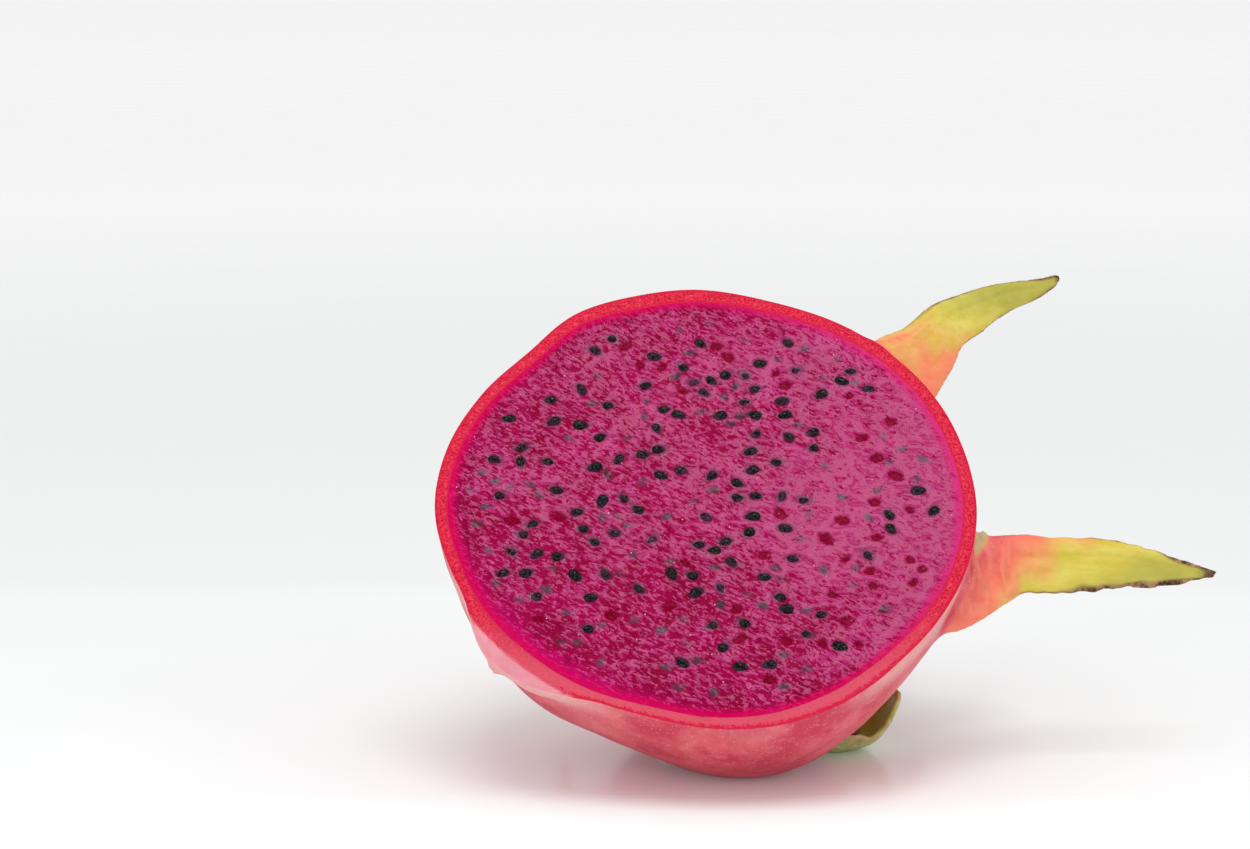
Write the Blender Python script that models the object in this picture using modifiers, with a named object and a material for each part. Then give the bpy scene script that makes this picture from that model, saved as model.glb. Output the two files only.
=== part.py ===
"""Half of a red dragon fruit, cut lengthwise, leaning back on its own scales.

The fruit is modelled in its own frame, with the knife's cut in the XY plane: X runs along the
fruit from the stem end (-X) to the blossom end (+X), Y runs across the cut face, and Z points out
of it. An empty then tips that frame back and sets it on the table, z = 0, so that the origin is
the middle of the flat spot that the fruit rests on. Lengths are metres and angles are degrees.
"""

import math
import random

import bmesh
import bpy
import numpy as np
from mathutils import Matrix, Vector

HALF_LENGTH = 0.049
HALF_WIDTH = 0.044
DEPTH = 0.0455
# Radii of the cut outline, every 15 degrees from the blossom end towards the upper edge.
RIM_RADII = (
    0.0485, 0.0485, 0.0485, 0.0480, 0.0474, 0.0469, 0.0475, 0.0476,
    0.0484, 0.0469, 0.0478, 0.0488, 0.0490, 0.0476, 0.0464, 0.0450,
    0.0442, 0.0433, 0.0440, 0.0447, 0.0450, 0.0454, 0.0464, 0.0477,
)
PEEL_THICKNESS = 0.0024
GAP = 0.0003

# How the cut half leans, and where the middle of its cut face stands over the table.
FACE_ELEVATION = 42.0
FACE_CENTRE = Vector((-0.0062, -0.0014, 0.0480))

PEEL_RED = (0.80, 0.055, 0.12, 1.0)
FLESH_MAGENTA = (0.56, 0.012, 0.20, 1.0)
STEM_GREEN = (0.23, 0.25, 0.09, 1.0)
DRY_BROWN = (0.24, 0.12, 0.05, 1.0)

SKIN_SEGMENTS, SKIN_RINGS = 64, 36
INNER_SEGMENTS, INNER_RINGS = 48, 24
BLADE_STATIONS = 9
BLADE_ACROSS = 5
BLADE_EDGE = 0.0010
ROOT_SINK = 0.0024

SEED_COUNT = 84
SEED_HALF = Vector((0.00135, 0.00085, 0.00075))
SEED_SINK = 0.00015
SEED_SPACING = 0.0052
SEED_MARGIN = 0.0050
SEED_DRAW = 7

STEM_ALONG, STEM_AROUND = -0.0400, 86.0
STEM_RADIUS = 0.0062
STEM_HEIGHT = 0.0016
FLOWER_ALONG, FLOWER_AROUND = 0.0430, 84.0
FLOWER_RADIUS = 0.0052
FLOWER_HEIGHT = 0.0036
SOCKET_DEPTH = 0.0014
SOCKET_CLEAR = 0.0080
PLUG_STEPS = 24

# Each scale grows from a cushion, set ahead of its root by a share of the blade's length, and
# reaching out by a share of its width.
CUSHION_SHIFT = 0.2
CUSHION_REACH = 0.62

# Broad swellings of the skin: place along the axis and around it, height and reach.
SWELLS = (
    (0.0108, 135, 0.0052, 0.0240),
    (-0.030, 150, 0.0016, 0.0140),
)


class Scale:
    """A scale that the camera side hides: its place on the fruit and how its blade bends."""

    def __init__(self, name, along, around, length, width, flare, tip=0.28, thick=0.0042,
                 cup=0.16, cushion=0.0024):
        self.name = name
        self.along = along
        self.around = around
        self.length = length
        self.width = width
        self.flare = flare
        self.tip = tip
        self.thick = thick
        self.cup = cup
        self.cushion = cushion


class DrawnScale:
    """A scale whose blade follows a path of points (x, y, z, half width), all in millimetres."""

    def __init__(self, name, facing, thick, cup, path):
        self.name = name
        self.facing = Vector(facing).normalized()
        self.thick = thick
        self.cup = cup
        self.path = np.array(path) / 1000


# along is the place on the fruit's axis and around the angle from the upper edge over the back.
# flare is the blade's angle off the skin at its root and at its tip.
SCALES = (
    Scale("stem_upper", -0.034, 40, 0.022, 0.021, (14, 48)),
    Scale("stem_back", -0.030, 86, 0.024, 0.022, (16, 62)),
    Scale("prop_left", -0.016, 108, 0.029, 0.022, (42, 6), cushion=0.0020),
    Scale("mid_upper", -0.014, 24, 0.028, 0.026, (6, 4)),
    Scale("mid_back", -0.010, 68, 0.030, 0.027, (14, 66)),
    Scale("far_upper", 0.008, 44, 0.032, 0.027, (16, 70)),
    Scale("far_back", 0.013, 86, 0.033, 0.026, (20, 74)),
    Scale("crown_upper", 0.031, 60, 0.032, 0.021, (60, 112), cushion=0.0014),
    Scale("crown_back", 0.036, 84, 0.027, 0.016, (56, 96), cushion=0.0012),
)
DRAWN_SCALES = (
    DrawnScale("upper_right", (0.25, -0.55, 0.80), 0.0048, 0.12, (
        (28.0, 27.0, -6.5, 9.6), (35.2, 32.2, -6.5, 8.8), (42.3, 39.7, -7.0, 6.4),
        (46.2, 45.3, -8.0, 4.9), (51.2, 49.0, -9.0, 4.2), (57.1, 53.0, -10.0, 3.1),
        (63.2, 55.3, -10.5, 2.2), (67.4, 57.4, -11.0, 1.5), (69.4, 59.1, -11.0, 0.7),
    )),
    DrawnScale("right", (0.10, -0.45, 0.88), 0.0052, 0.12, (
        (34.0, -12.5, -8.0, 8.6), (43.0, -11.8, -9.0, 7.9), (52.1, -6.3, -12.0, 6.4),
        (57.4, -4.5, -13.0, 5.4), (64.2, -4.1, -14.0, 5.3), (72.9, -3.4, -14.5, 4.7),
        (81.7, -3.9, -15.0, 3.5), (89.0, -5.0, -15.0, 1.9), (93.7, -5.4, -15.0, 0.7),
    )),
    DrawnScale("under_right", (-0.35, 0.45, 0.81), 0.0034, 0.34, (
        (14.0, -24.0, -35.5, 9.5), (20.0, -26.0, -39.0, 9.3), (24.4, -26.4, -41.0, 9.0),
        (29.6, -25.0, -41.5, 8.2), (33.9, -22.7, -39.0, 6.0), (36.3, -20.1, -34.0, 2.0),
    )),
    DrawnScale("left_cut", (-0.75, -0.66, 0.0), 0.0068, 0.0, (
        (-40.3, -16.3, -0.5, 2.0), (-39.0, -23.4, -0.5, 3.0), (-36.5, -29.6, -0.5, 4.0),
        (-31.8, -34.1, -0.5, 4.0), (-26.0, -37.2, -0.5, 3.4), (-19.1, -39.2, -0.5, 2.0),
    )),
)


def clear_scene():
    for old in list(bpy.data.objects):
        bpy.data.objects.remove(old)


def collection(name):
    made = bpy.data.collections.new(name)
    bpy.context.scene.collection.children.link(made)
    return made


def material(name, color, roughness):
    made = bpy.data.materials.new(name)
    made.use_nodes = True
    shader = made.node_tree.nodes["Principled BSDF"]
    shader.inputs["Base Color"].default_value = color
    shader.inputs["Roughness"].default_value = roughness
    shader.inputs["Metallic"].default_value = 0.0
    return made


def rim_radius(angle):
    """Radius of the cut outline at an angle in radians, on a smooth closed curve."""
    count = len(RIM_RADII)
    place = (angle / math.tau * count) % count
    i = int(place) % count
    f = place - int(place)
    before, here, after, beyond = (RIM_RADII[(i + k) % count] for k in (-1, 0, 1, 2))
    slope = (after - before) / 2
    next_slope = (beyond - here) / 2
    return (
        (2 * f**3 - 3 * f**2 + 1) * here
        + (f**3 - 2 * f**2 + f) * slope
        + (3 * f**2 - 2 * f**3) * after
        + (f**3 - f**2) * next_slope
    )


def bare_point(along, around):
    """Point of the fruit's smooth body under the scales' cushions."""
    share = max(0.0, 1 - (along / HALF_LENGTH) ** 2)
    radius = HALF_WIDTH * math.sqrt(share)
    turn = math.radians(around)
    across = radius * math.cos(turn)
    depth = radius * math.sin(turn)
    angle = math.atan2(across, along)
    flat = math.sqrt(max(0.0, 1 - (depth / DEPTH) ** 2)) * rim_radius(angle)
    return Vector((flat * math.cos(angle), flat * math.sin(angle), -depth))


def outward(point):
    normal = Vector((
        point.x / HALF_LENGTH**2,
        point.y / HALF_WIDTH**2,
        point.z / DEPTH**2,
    ))
    return normal.normalized()


def cushion_height(point):
    """How far the skin swells out over the bare body, most where the scales grow."""
    height = 0.0
    for along, around, rise, reach in SWELLS:
        away = (point - bare_point(along, around)).length / reach
        height = max(height, rise * math.exp(-away * away))
    for scale in SCALES:
        root = bare_point(scale.along + CUSHION_SHIFT * scale.length, scale.around)
        away = (point - root).length / (CUSHION_REACH * scale.width)
        height = max(height, scale.cushion * math.exp(-away * away))
    return height


def skin_point(along, around):
    bare = bare_point(along, around)
    return bare + outward(bare) * cushion_height(bare)


def fruit_body(name, inset, swollen, segments, rings):
    """Closed body of the whole fruit, its skin moved in by inset."""
    bm = bmesh.new()
    bmesh.ops.create_uvsphere(bm, u_segments=segments, v_segments=rings, radius=1.0)
    for vert in bm.verts:
        angle = math.atan2(vert.co.y, vert.co.x)
        flat = math.hypot(vert.co.x, vert.co.y) * (rim_radius(angle) - inset)
        depth = vert.co.z * (DEPTH - inset)
        place = Vector((flat * math.cos(angle), flat * math.sin(angle), depth))
        if swollen:
            place += outward(place) * cushion_height(place)
        vert.co = place
    mesh = bpy.data.meshes.new(name)
    bm.to_mesh(mesh)
    bm.free()
    return bpy.data.objects.new(name, mesh)


def ruled_blade(scale):
    """Rings of a hidden scale's blade, from its root inside the skin to its tip."""
    root = skin_point(scale.along, scale.around)
    out = outward(root)
    forward = (Vector((1, 0, 0)) - out * out.x).normalized()
    side = out.cross(forward)
    place = root - out * ROOT_SINK
    step = scale.length / (BLADE_STATIONS - 1)
    rings = []
    for i in range(BLADE_STATIONS):
        k = i / (BLADE_STATIONS - 1)
        lift = math.radians(scale.flare[0] + (scale.flare[1] - scale.flare[0]) * k)
        if i:
            place = place + (forward * math.cos(lift) + out * math.sin(lift)) * step
        drawn = scale.tip + (1 - scale.tip) * (1 - k)
        end = math.sqrt(max(0.0, 1 - max(0.0, (k - 0.80) / 0.215) ** 2))
        half = scale.width / 2 * drawn * max(end, 0.18)
        face = out * math.cos(lift) - forward * math.sin(lift)
        rings.append(blade_ring(scale, k, place, side, face, half))
    return rings


def drawn_blade(scale):
    """Rings of a blade that follows its own path, with the hollow side turned to its facing."""
    count = len(scale.path)
    stops = np.arange(count)
    at = np.linspace(0, count - 1, BLADE_STATIONS)
    rows = np.array([np.interp(at, stops, scale.path[:, i]) for i in range(4)]).T
    rings = []
    for i, (x, y, z, half) in enumerate(rows):
        ahead = rows[min(i + 1, BLADE_STATIONS - 1), :3] - rows[max(i - 1, 0), :3]
        ahead = Vector(ahead).normalized()
        across = scale.facing.cross(ahead).normalized()
        face = -ahead.cross(across).normalized()
        k = i / (BLADE_STATIONS - 1)
        rings.append(blade_ring(scale, k, Vector((x, y, z)), across, face, half))
    return rings


def blade_ring(scale, k, place, across, face, half):
    """One cross-section: thickest along the middle rib, with both edges bowed from the face."""
    middle = scale.thick * (1 - k) ** 0.9 + BLADE_EDGE
    edge = min(BLADE_EDGE * (2 - k), middle)
    bow = min(2 * scale.cup, 0.8) * half * (0.35 + 0.65 * math.sin(math.pi * min(1.0, 0.15 + k)))
    ring = []
    for sign in (1, -1):
        for j in range(BLADE_ACROSS):
            x = sign * (1 - 2 * j / (BLADE_ACROSS - 1))
            thick = edge + (middle - edge) * (1 - x * x)
            ring.append(place + across * (half * x) - face * (sign * thick / 2 + bow * x * x))
    return ring


def loft(name, sections):
    """Closed solid through rings of equal length."""
    bm = bmesh.new()
    rings = [[bm.verts.new(point) for point in section] for section in sections]
    count = len(rings[0])
    for ring, following in zip(rings, rings[1:]):
        for j in range(count):
            n = (j + 1) % count
            bm.faces.new((ring[j], ring[n], following[n], following[j]))
    bm.faces.new(rings[0])
    bm.faces.new(rings[-1])
    bmesh.ops.recalc_face_normals(bm, faces=bm.faces)
    bmesh.ops.triangulate(bm, faces=bm.faces)
    mesh = bpy.data.meshes.new(name)
    bm.to_mesh(mesh)
    bm.free()
    return bpy.data.objects.new(name, mesh)


def boolean(obj, name, operation, other):
    modifier = obj.modifiers.new(name, "BOOLEAN")
    modifier.operation = operation
    modifier.solver = "EXACT"
    if isinstance(other, bpy.types.Collection):
        modifier.operand_type = "COLLECTION"
        modifier.collection = other
    else:
        modifier.object = other


def apply_modifiers(obj):
    bpy.context.view_layer.update()
    graph = bpy.context.evaluated_depsgraph_get()
    mesh = bpy.data.meshes.new_from_object(obj.evaluated_get(graph))
    obj.modifiers.clear()
    obj.data = mesh


def remove_collection(made):
    for obj in list(made.objects):
        bpy.data.objects.remove(obj)
    bpy.data.collections.remove(made)


def cutter(obj, cutters):
    cutters.objects.link(obj)
    obj.hide_render = True
    obj.display_type = "WIRE"
    return obj


def block(name, size, centre):
    """Box that cuts, such as the knife's side of the fruit or the space under the table top."""
    bm = bmesh.new()
    bmesh.ops.create_cube(bm, size=1.0)
    for vert in bm.verts:
        vert.co = Vector((vert.co.x * size[0], vert.co.y * size[1], vert.co.z * size[2]))
    mesh = bpy.data.meshes.new(name)
    bm.to_mesh(mesh)
    bm.free()
    obj = bpy.data.objects.new(name, mesh)
    obj.location = centre
    return obj


def place_on_skin(along, around, depth):
    """Matrix whose Z axis stands out of the skin, with its origin depth under it."""
    spot = skin_point(along, around)
    out = outward(spot)
    turn = out.to_track_quat("Z", "Y").to_matrix().to_4x4()
    return Matrix.Translation(spot - out * depth) @ turn


def plug_cutter(name, radius, along, around):
    bm = bmesh.new()
    bmesh.ops.create_cone(
        bm, cap_ends=True, segments=PLUG_STEPS,
        radius1=radius + GAP, radius2=radius + GAP, depth=SOCKET_CLEAR,
    )
    bmesh.ops.translate(bm, verts=bm.verts, vec=(0, 0, SOCKET_CLEAR / 2))
    bm.transform(place_on_skin(along, around, SOCKET_DEPTH))
    mesh = bpy.data.meshes.new(name)
    bm.to_mesh(mesh)
    bm.free()
    return bpy.data.objects.new(name, mesh)


def turned_plug(name, profile, along, around):
    """Turned piece in a socket of the skin. profile is (radius, height) from its top to its base."""
    bm = bmesh.new()
    verts = [bm.verts.new((radius, 0, height)) for radius, height in profile]
    for first, second in zip(verts, verts[1:]):
        bm.edges.new((first, second))
    mesh = bpy.data.meshes.new(name)
    bm.to_mesh(mesh)
    bm.free()
    obj = bpy.data.objects.new(name, mesh)
    screw = obj.modifiers.new("turn", "SCREW")
    screw.steps = PLUG_STEPS
    screw.render_steps = PLUG_STEPS
    screw.use_merge_vertices = True
    screw.merge_threshold = 0.00005
    obj.matrix_local = place_on_skin(along, around, SOCKET_DEPTH - GAP)
    return obj


def build_peel(parts, cutters, rig):
    """Skin with its scales, cut by the knife, hollow for the flesh and flat where it rests."""
    peel = fruit_body("peel", 0.0, True, SKIN_SEGMENTS, SKIN_RINGS)
    parts.objects.link(peel)
    peel.parent = rig
    blades = collection("blades")
    lofts = [(scale.name, ruled_blade(scale)) for scale in SCALES]
    lofts += [(scale.name, drawn_blade(scale)) for scale in DRAWN_SCALES]
    for name, rings in lofts:
        blade = loft(name, rings)
        blades.objects.link(blade)
        blade.parent = rig
    boolean(peel, "join_scales", "UNION", blades)
    apply_modifiers(peel)
    remove_collection(blades)

    room = 4 * HALF_LENGTH
    knife = cutter(block("knife", (room, room, room), (0, 0, room / 2)), cutters)
    inner = fruit_body("hollow", PEEL_THICKNESS, False, INNER_SEGMENTS, INNER_RINGS)
    hollow = cutter(inner, cutters)
    stem_socket = cutter(plug_cutter("stem_socket", STEM_RADIUS, STEM_ALONG, STEM_AROUND), cutters)
    flower_socket = cutter(
        plug_cutter("flower_socket", FLOWER_RADIUS, FLOWER_ALONG, FLOWER_AROUND), cutters
    )
    for made in (knife, hollow, stem_socket, flower_socket):
        made.parent = rig
        boolean(peel, "cut_" + made.name, "DIFFERENCE", made)
    table = cutter(block("table", (room, room, room / 2), (0, 0, -room / 4)), cutters)
    boolean(peel, "rest_flat", "DIFFERENCE", table)
    peel.data.materials.append(material("peel", PEEL_RED, 0.45))
    return knife


def seed_places():
    """Scattered places and turns of the seeds that show on the cut face."""
    draw = random.Random(SEED_DRAW)
    places = []
    while len(places) < SEED_COUNT:
        angle = draw.uniform(0, math.tau)
        reach = math.sqrt(draw.random()) * (rim_radius(angle) - PEEL_THICKNESS - SEED_MARGIN)
        spot = Vector((reach * math.cos(angle), reach * math.sin(angle), 0))
        turn = draw.uniform(0, math.pi)
        if all((spot - other).length > SEED_SPACING for other, _ in places):
            places.append((spot, turn))
    return places


def build_flesh(parts, knife, rig):
    """Flesh that fills the peel, flat where it was cut, with the seeds standing out of the cut."""
    inset = PEEL_THICKNESS + GAP
    flesh = fruit_body("flesh", inset, False, INNER_SEGMENTS, INNER_RINGS)
    parts.objects.link(flesh)
    flesh.parent = rig
    boolean(flesh, "cut_knife", "DIFFERENCE", knife)
    seeds = collection("seeds")
    for index, (spot, turn) in enumerate(seed_places()):
        bm = bmesh.new()
        bmesh.ops.create_uvsphere(bm, u_segments=6, v_segments=4, radius=1.0)
        bm.transform(Matrix.Diagonal((*SEED_HALF, 1)))
        middle = spot - Vector((0, 0, SEED_SINK))
        bm.transform(Matrix.Translation(middle) @ Matrix.Rotation(turn, 4, "Z"))
        mesh = bpy.data.meshes.new(f"seed_{index}")
        bm.to_mesh(mesh)
        bm.free()
        seed = bpy.data.objects.new(mesh.name, mesh)
        seeds.objects.link(seed)
        seed.parent = rig
    boolean(flesh, "join_seeds", "UNION", seeds)
    apply_modifiers(flesh)
    remove_collection(seeds)
    flesh.data.materials.append(material("flesh", FLESH_MAGENTA, 0.30))


def build_stem(parts, rig):
    """Short woody stub where the fruit was cut from its branch, with a ridge round its end."""
    top = SOCKET_DEPTH + STEM_HEIGHT
    profile = (
        (0.0, top - 0.0008),
        (STEM_RADIUS - 0.0016, top - 0.0006),
        (STEM_RADIUS - 0.0008, top),
        (STEM_RADIUS - 0.0001, top - 0.0005),
        (STEM_RADIUS - 0.0009, top / 2),
        (STEM_RADIUS, 0.0006),
        (STEM_RADIUS - 0.0004, 0.0),
        (0.0, 0.0),
    )
    stem = turned_plug("stem_stub", profile, STEM_ALONG, STEM_AROUND)
    parts.objects.link(stem)
    stem.parent = rig
    stem.data.materials.append(material("stem", STEM_GREEN, 0.7))


def build_flower_remnant(parts, rig):
    """Dried cup that the flower left at the blossom end."""
    top = SOCKET_DEPTH + FLOWER_HEIGHT
    profile = (
        (0.0, top - 0.0022),
        (FLOWER_RADIUS - 0.0022, top - 0.0016),
        (FLOWER_RADIUS - 0.0010, top - 0.0002),
        (FLOWER_RADIUS - 0.0004, top),
        (FLOWER_RADIUS, top - 0.0008),
        (FLOWER_RADIUS - 0.0008, top / 2),
        (FLOWER_RADIUS, 0.0006),
        (FLOWER_RADIUS - 0.0004, 0.0),
        (0.0, 0.0),
    )
    flower = turned_plug("flower_remnant", profile, FLOWER_ALONG, FLOWER_AROUND)
    parts.objects.link(flower)
    flower.parent = rig
    flower.data.materials.append(material("dry_flower", DRY_BROWN, 0.85))


def main():
    clear_scene()
    parts = collection("dragon_fruit_half")
    cutters = collection("cutters")
    rig = bpy.data.objects.new("leaning_frame", None)
    bpy.context.scene.collection.objects.link(rig)
    rig.location = FACE_CENTRE
    rig.rotation_euler = (math.radians(90 - FACE_ELEVATION), 0, 0)
    knife = build_peel(parts, cutters, rig)
    build_flesh(parts, knife, rig)
    build_stem(parts, rig)
    build_flower_remnant(parts, rig)


main()
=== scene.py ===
# %% [markdown]
# # Half of a red dragon fruit on a pale table
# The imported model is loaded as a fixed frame. The fruit's own frame has the knife's cut in its XY
# plane: X runs from the stem end to the blossom end, Y runs across the cut face and Z points out
# of it. Every piece is made in that frame and then set down on the table with one matrix.

# %% Load the frame
import math
import random

import bmesh
import bpy
import numpy as np
from mathutils import Matrix, Vector, noise
from mathutils.kdtree import KDTree


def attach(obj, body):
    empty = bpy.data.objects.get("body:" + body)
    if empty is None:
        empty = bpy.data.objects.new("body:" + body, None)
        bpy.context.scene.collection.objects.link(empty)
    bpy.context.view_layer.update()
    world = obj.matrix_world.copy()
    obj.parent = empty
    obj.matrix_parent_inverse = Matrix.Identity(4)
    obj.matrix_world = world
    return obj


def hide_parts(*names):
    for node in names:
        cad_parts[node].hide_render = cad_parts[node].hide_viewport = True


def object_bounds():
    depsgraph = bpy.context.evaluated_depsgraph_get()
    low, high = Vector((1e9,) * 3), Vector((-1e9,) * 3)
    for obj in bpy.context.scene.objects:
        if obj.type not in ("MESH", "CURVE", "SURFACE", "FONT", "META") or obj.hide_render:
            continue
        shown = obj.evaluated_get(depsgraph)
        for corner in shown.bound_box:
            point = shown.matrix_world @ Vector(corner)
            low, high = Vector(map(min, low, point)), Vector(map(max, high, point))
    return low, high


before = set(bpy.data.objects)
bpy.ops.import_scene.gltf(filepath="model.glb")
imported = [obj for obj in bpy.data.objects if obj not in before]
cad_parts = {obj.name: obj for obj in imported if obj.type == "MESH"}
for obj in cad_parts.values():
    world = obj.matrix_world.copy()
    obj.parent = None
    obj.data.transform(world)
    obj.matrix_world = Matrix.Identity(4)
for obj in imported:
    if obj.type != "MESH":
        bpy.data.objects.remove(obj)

CAD_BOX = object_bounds()
print("CAD box", [[round(v, 4) for v in corner] for corner in CAD_BOX])

# %% [markdown]
# ## Sizes
# These are the sizes of the solids, in metres and degrees. The cut outline is given by its radii,
# every 15 degrees from the blossom end towards the upper edge.

# %% Sizes of the body, the cut and the ends
HALF_LENGTH, HALF_WIDTH, DEPTH = 0.049, 0.044, 0.0455
RIM_RADII = np.array((
    0.0485, 0.0485, 0.0485, 0.0480, 0.0474, 0.0469, 0.0475, 0.0476,
    0.0484, 0.0469, 0.0478, 0.0488, 0.0490, 0.0476, 0.0464, 0.0450,
    0.0442, 0.0433, 0.0440, 0.0447, 0.0450, 0.0454, 0.0464, 0.0477,
))
PEEL_THICKNESS = 0.0024
EDGE_THINNING = 0.0007
GAP = 0.0003
FACE_ELEVATION = 42.0
FACE_CENTRE = Vector((-0.0062, -0.0014, 0.0480))
BLADE_STATIONS = 9
BLADE_EDGE = 0.0010
ROOT_SINK = 0.0024
CUSHION_SHIFT, CUSHION_REACH = 0.2, 0.62
SWELLS = ((0.0108, 135, 0.0052, 0.0240), (-0.030, 150, 0.0016, 0.0140))
STEM_ALONG, STEM_AROUND, STEM_RADIUS, STEM_HEIGHT = -0.0400, 86.0, 0.0062, 0.0016
FLOWER_ALONG, FLOWER_AROUND, FLOWER_RADIUS, FLOWER_HEIGHT = 0.0430, 84.0, 0.0052, 0.0036
SOCKET_DEPTH = 0.0014

TO_TABLE = Matrix.Translation(FACE_CENTRE) @ Matrix.Rotation(math.radians(90 - FACE_ELEVATION), 4, "X")

# %% [markdown]
# ## Scales
# A hidden scale follows a rule: its place along the axis and around it, length, width, and the
# angle off the skin at root and tip. A scale that shows follows a path of points with a half width
# at each, in millimetres. `turn` is where along the blade red gives way to green, and `lean` slants
# that border across it. `facing` is the side the blade turns to, `thick` its thickness at the root,
# `cup` how far it bows and `rag` how far its margin is torn.

# %% Scales
RULED = (
    dict(name="stem_upper", along=-0.034, around=40, length=0.022, width=0.021, flare=(14, 48)),
    dict(name="stem_back", along=-0.030, around=86, length=0.024, width=0.022, flare=(16, 62)),
    dict(name="prop_left", along=-0.016, around=108, length=0.029, width=0.022, flare=(42, 6),
         cushion=0.0020),
    dict(name="mid_upper", along=-0.014, around=24, length=0.028, width=0.026, flare=(6, 4)),
    dict(name="mid_back", along=-0.010, around=68, length=0.030, width=0.027, flare=(14, 66)),
    dict(name="far_upper", along=0.008, around=44, length=0.032, width=0.027, flare=(16, 70)),
    dict(name="far_back", along=0.013, around=86, length=0.033, width=0.026, flare=(20, 74)),
    dict(name="crown_upper", along=0.031, around=60, length=0.032, width=0.021, flare=(60, 112),
         cushion=0.0014),
    dict(name="crown_back", along=0.036, around=84, length=0.027, width=0.016, flare=(56, 96),
         cushion=0.0012),
)
DRAWN = (
    dict(name="upper_right", facing=(0.25, -0.55, 0.80), thick=0.0048, cup=0.12, turn=0.17,
         lean=-0.11, path=(
        (28.0, 27.0, -6.5, 9.6), (35.2, 32.2, -6.5, 8.8), (42.3, 39.7, -7.0, 6.4),
        (46.2, 45.3, -8.0, 4.9), (51.2, 49.0, -9.0, 4.2), (57.1, 53.0, -10.0, 3.1),
        (63.2, 55.3, -10.5, 2.2), (67.4, 57.4, -11.0, 1.5), (69.4, 59.1, -11.0, 0.7))),
    dict(name="right", facing=(0.10, -0.45, 0.88), thick=0.0052, cup=0.12, turn=0.38,
         lean=0.13, rag=0.0011, path=(
        (34.0, -12.5, -8.0, 8.6), (43.0, -11.8, -9.0, 7.9), (52.1, -6.3, -12.0, 6.4),
        (57.4, -4.5, -13.0, 5.4), (64.2, -4.1, -14.0, 5.3), (72.9, -3.4, -14.5, 4.7),
        (81.7, -3.9, -15.0, 3.5), (89.0, -5.0, -15.0, 1.9), (93.7, -5.4, -15.0, 0.7))),
    dict(name="under_right", facing=(-0.35, 0.45, 0.81), thick=0.0034, cup=0.34, turn=0.22, path=(
        (14.0, -24.0, -35.5, 9.5), (20.0, -26.0, -39.0, 9.3), (24.4, -26.4, -41.0, 9.0),
        (29.6, -25.0, -41.5, 8.2), (33.9, -22.7, -39.0, 6.0), (36.3, -20.1, -34.0, 2.0))),
    dict(name="left_cut", facing=(-0.75, -0.66, 0.0), thick=0.0068, cup=0.0, turn=2.0, path=(
        (-40.3, -16.3, -0.5, 2.0), (-39.0, -23.4, -0.5, 3.0), (-36.5, -29.6, -0.5, 4.0),
        (-31.8, -34.1, -0.5, 4.0), (-26.0, -37.2, -0.5, 3.4), (-19.1, -39.2, -0.5, 2.0))),
    dict(name="fin", facing=(0, 0, 1), thick=0.0016, cup=0.0, turn=2.0, path=(
        (-33.8, -28.6, -1.2, 5.5), (-35.6, -30.2, -1.4, 4.2), (-37.2, -31.6, -1.6, 2.3),
        (-38.2, -32.5, -1.8, 0.7))),
    dict(name="scrap", facing=(0.3, -0.5, 0.8), thick=0.0006, cup=0.5, turn=-9.0, path=(
        (47.6, -4.4, -6.9, 0.7), (48.8, -3.2, -6.5, 0.9), (49.9, -1.6, -6.6, 0.7),
        (50.3, -0.5, -7.0, 0.4))),
)
UPPER, RIGHT, UNDER, SLIVER, FIN, SCRAP = (len(RULED) + i for i in range(len(DRAWN)))
print(len(RULED), "hidden scales and", len(DRAWN), "drawn blades")

# %% [markdown]
# ## Shape of the body
# The bare body is an ellipsoid whose cut outline follows the measured radii. Swellings and the
# cushions that the scales grow from are added over it.

# %% Body functions
def smoothstep(low, high, x):
    t = np.clip((x - low) / (high - low), 0.0, 1.0)
    return t * t * (3 - 2 * t)


def smooth_between(before, here, after, beyond, f):
    """Value at share f of the way from here to after, on a curve that is smooth through all."""
    slope, next_slope = (after - before) / 2, (beyond - here) / 2
    return (
        (2 * f**3 - 3 * f**2 + 1) * here + (f**3 - 2 * f**2 + f) * slope
        + (3 * f**2 - 2 * f**3) * after + (f**3 - f**2) * next_slope
    )


def near_angle(degrees, middle, reach):
    """1 at a middle angle in degrees, fading to nothing within about two reaches of it."""
    away = (degrees - middle + 180) % 360 - 180
    return np.exp(-((away / reach) ** 2))


def rim_radius(angle):
    """Radius of the cut outline at angles in radians, on a smooth closed curve."""
    count = len(RIM_RADII)
    place = (np.asarray(angle) / math.tau * count) % count
    i = np.floor(place).astype(int) % count
    f = place - np.floor(place)
    return smooth_between(*(RIM_RADII[(i + k) % count] for k in (-1, 0, 1, 2)), f)


def edge_width(angle):
    """Width of the peel's cut edge at angles in radians: thinnest at lower left and bottom."""
    turned = np.degrees(np.asarray(angle))
    return PEEL_THICKNESS - EDGE_THINNING * (near_angle(turned, 225, 32) + near_angle(turned, 276, 30))


def bare_point(along, around):
    """Place on the bare body at a distance along the axis and an angle around it."""
    radius = HALF_WIDTH * math.sqrt(max(0.0, 1 - (along / HALF_LENGTH) ** 2))
    across = radius * math.cos(math.radians(around))
    depth = radius * math.sin(math.radians(around))
    angle = math.atan2(across, along)
    flat = math.sqrt(max(0.0, 1 - (depth / DEPTH) ** 2)) * float(rim_radius(angle))
    return np.array((flat * math.cos(angle), flat * math.sin(angle), -depth))


def outward(points):
    """Direction straight out of the bare body at points on it."""
    normal = np.asarray(points) / np.array((HALF_LENGTH**2, HALF_WIDTH**2, DEPTH**2))
    return normal / np.linalg.norm(normal, axis=-1, keepdims=True)


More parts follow.
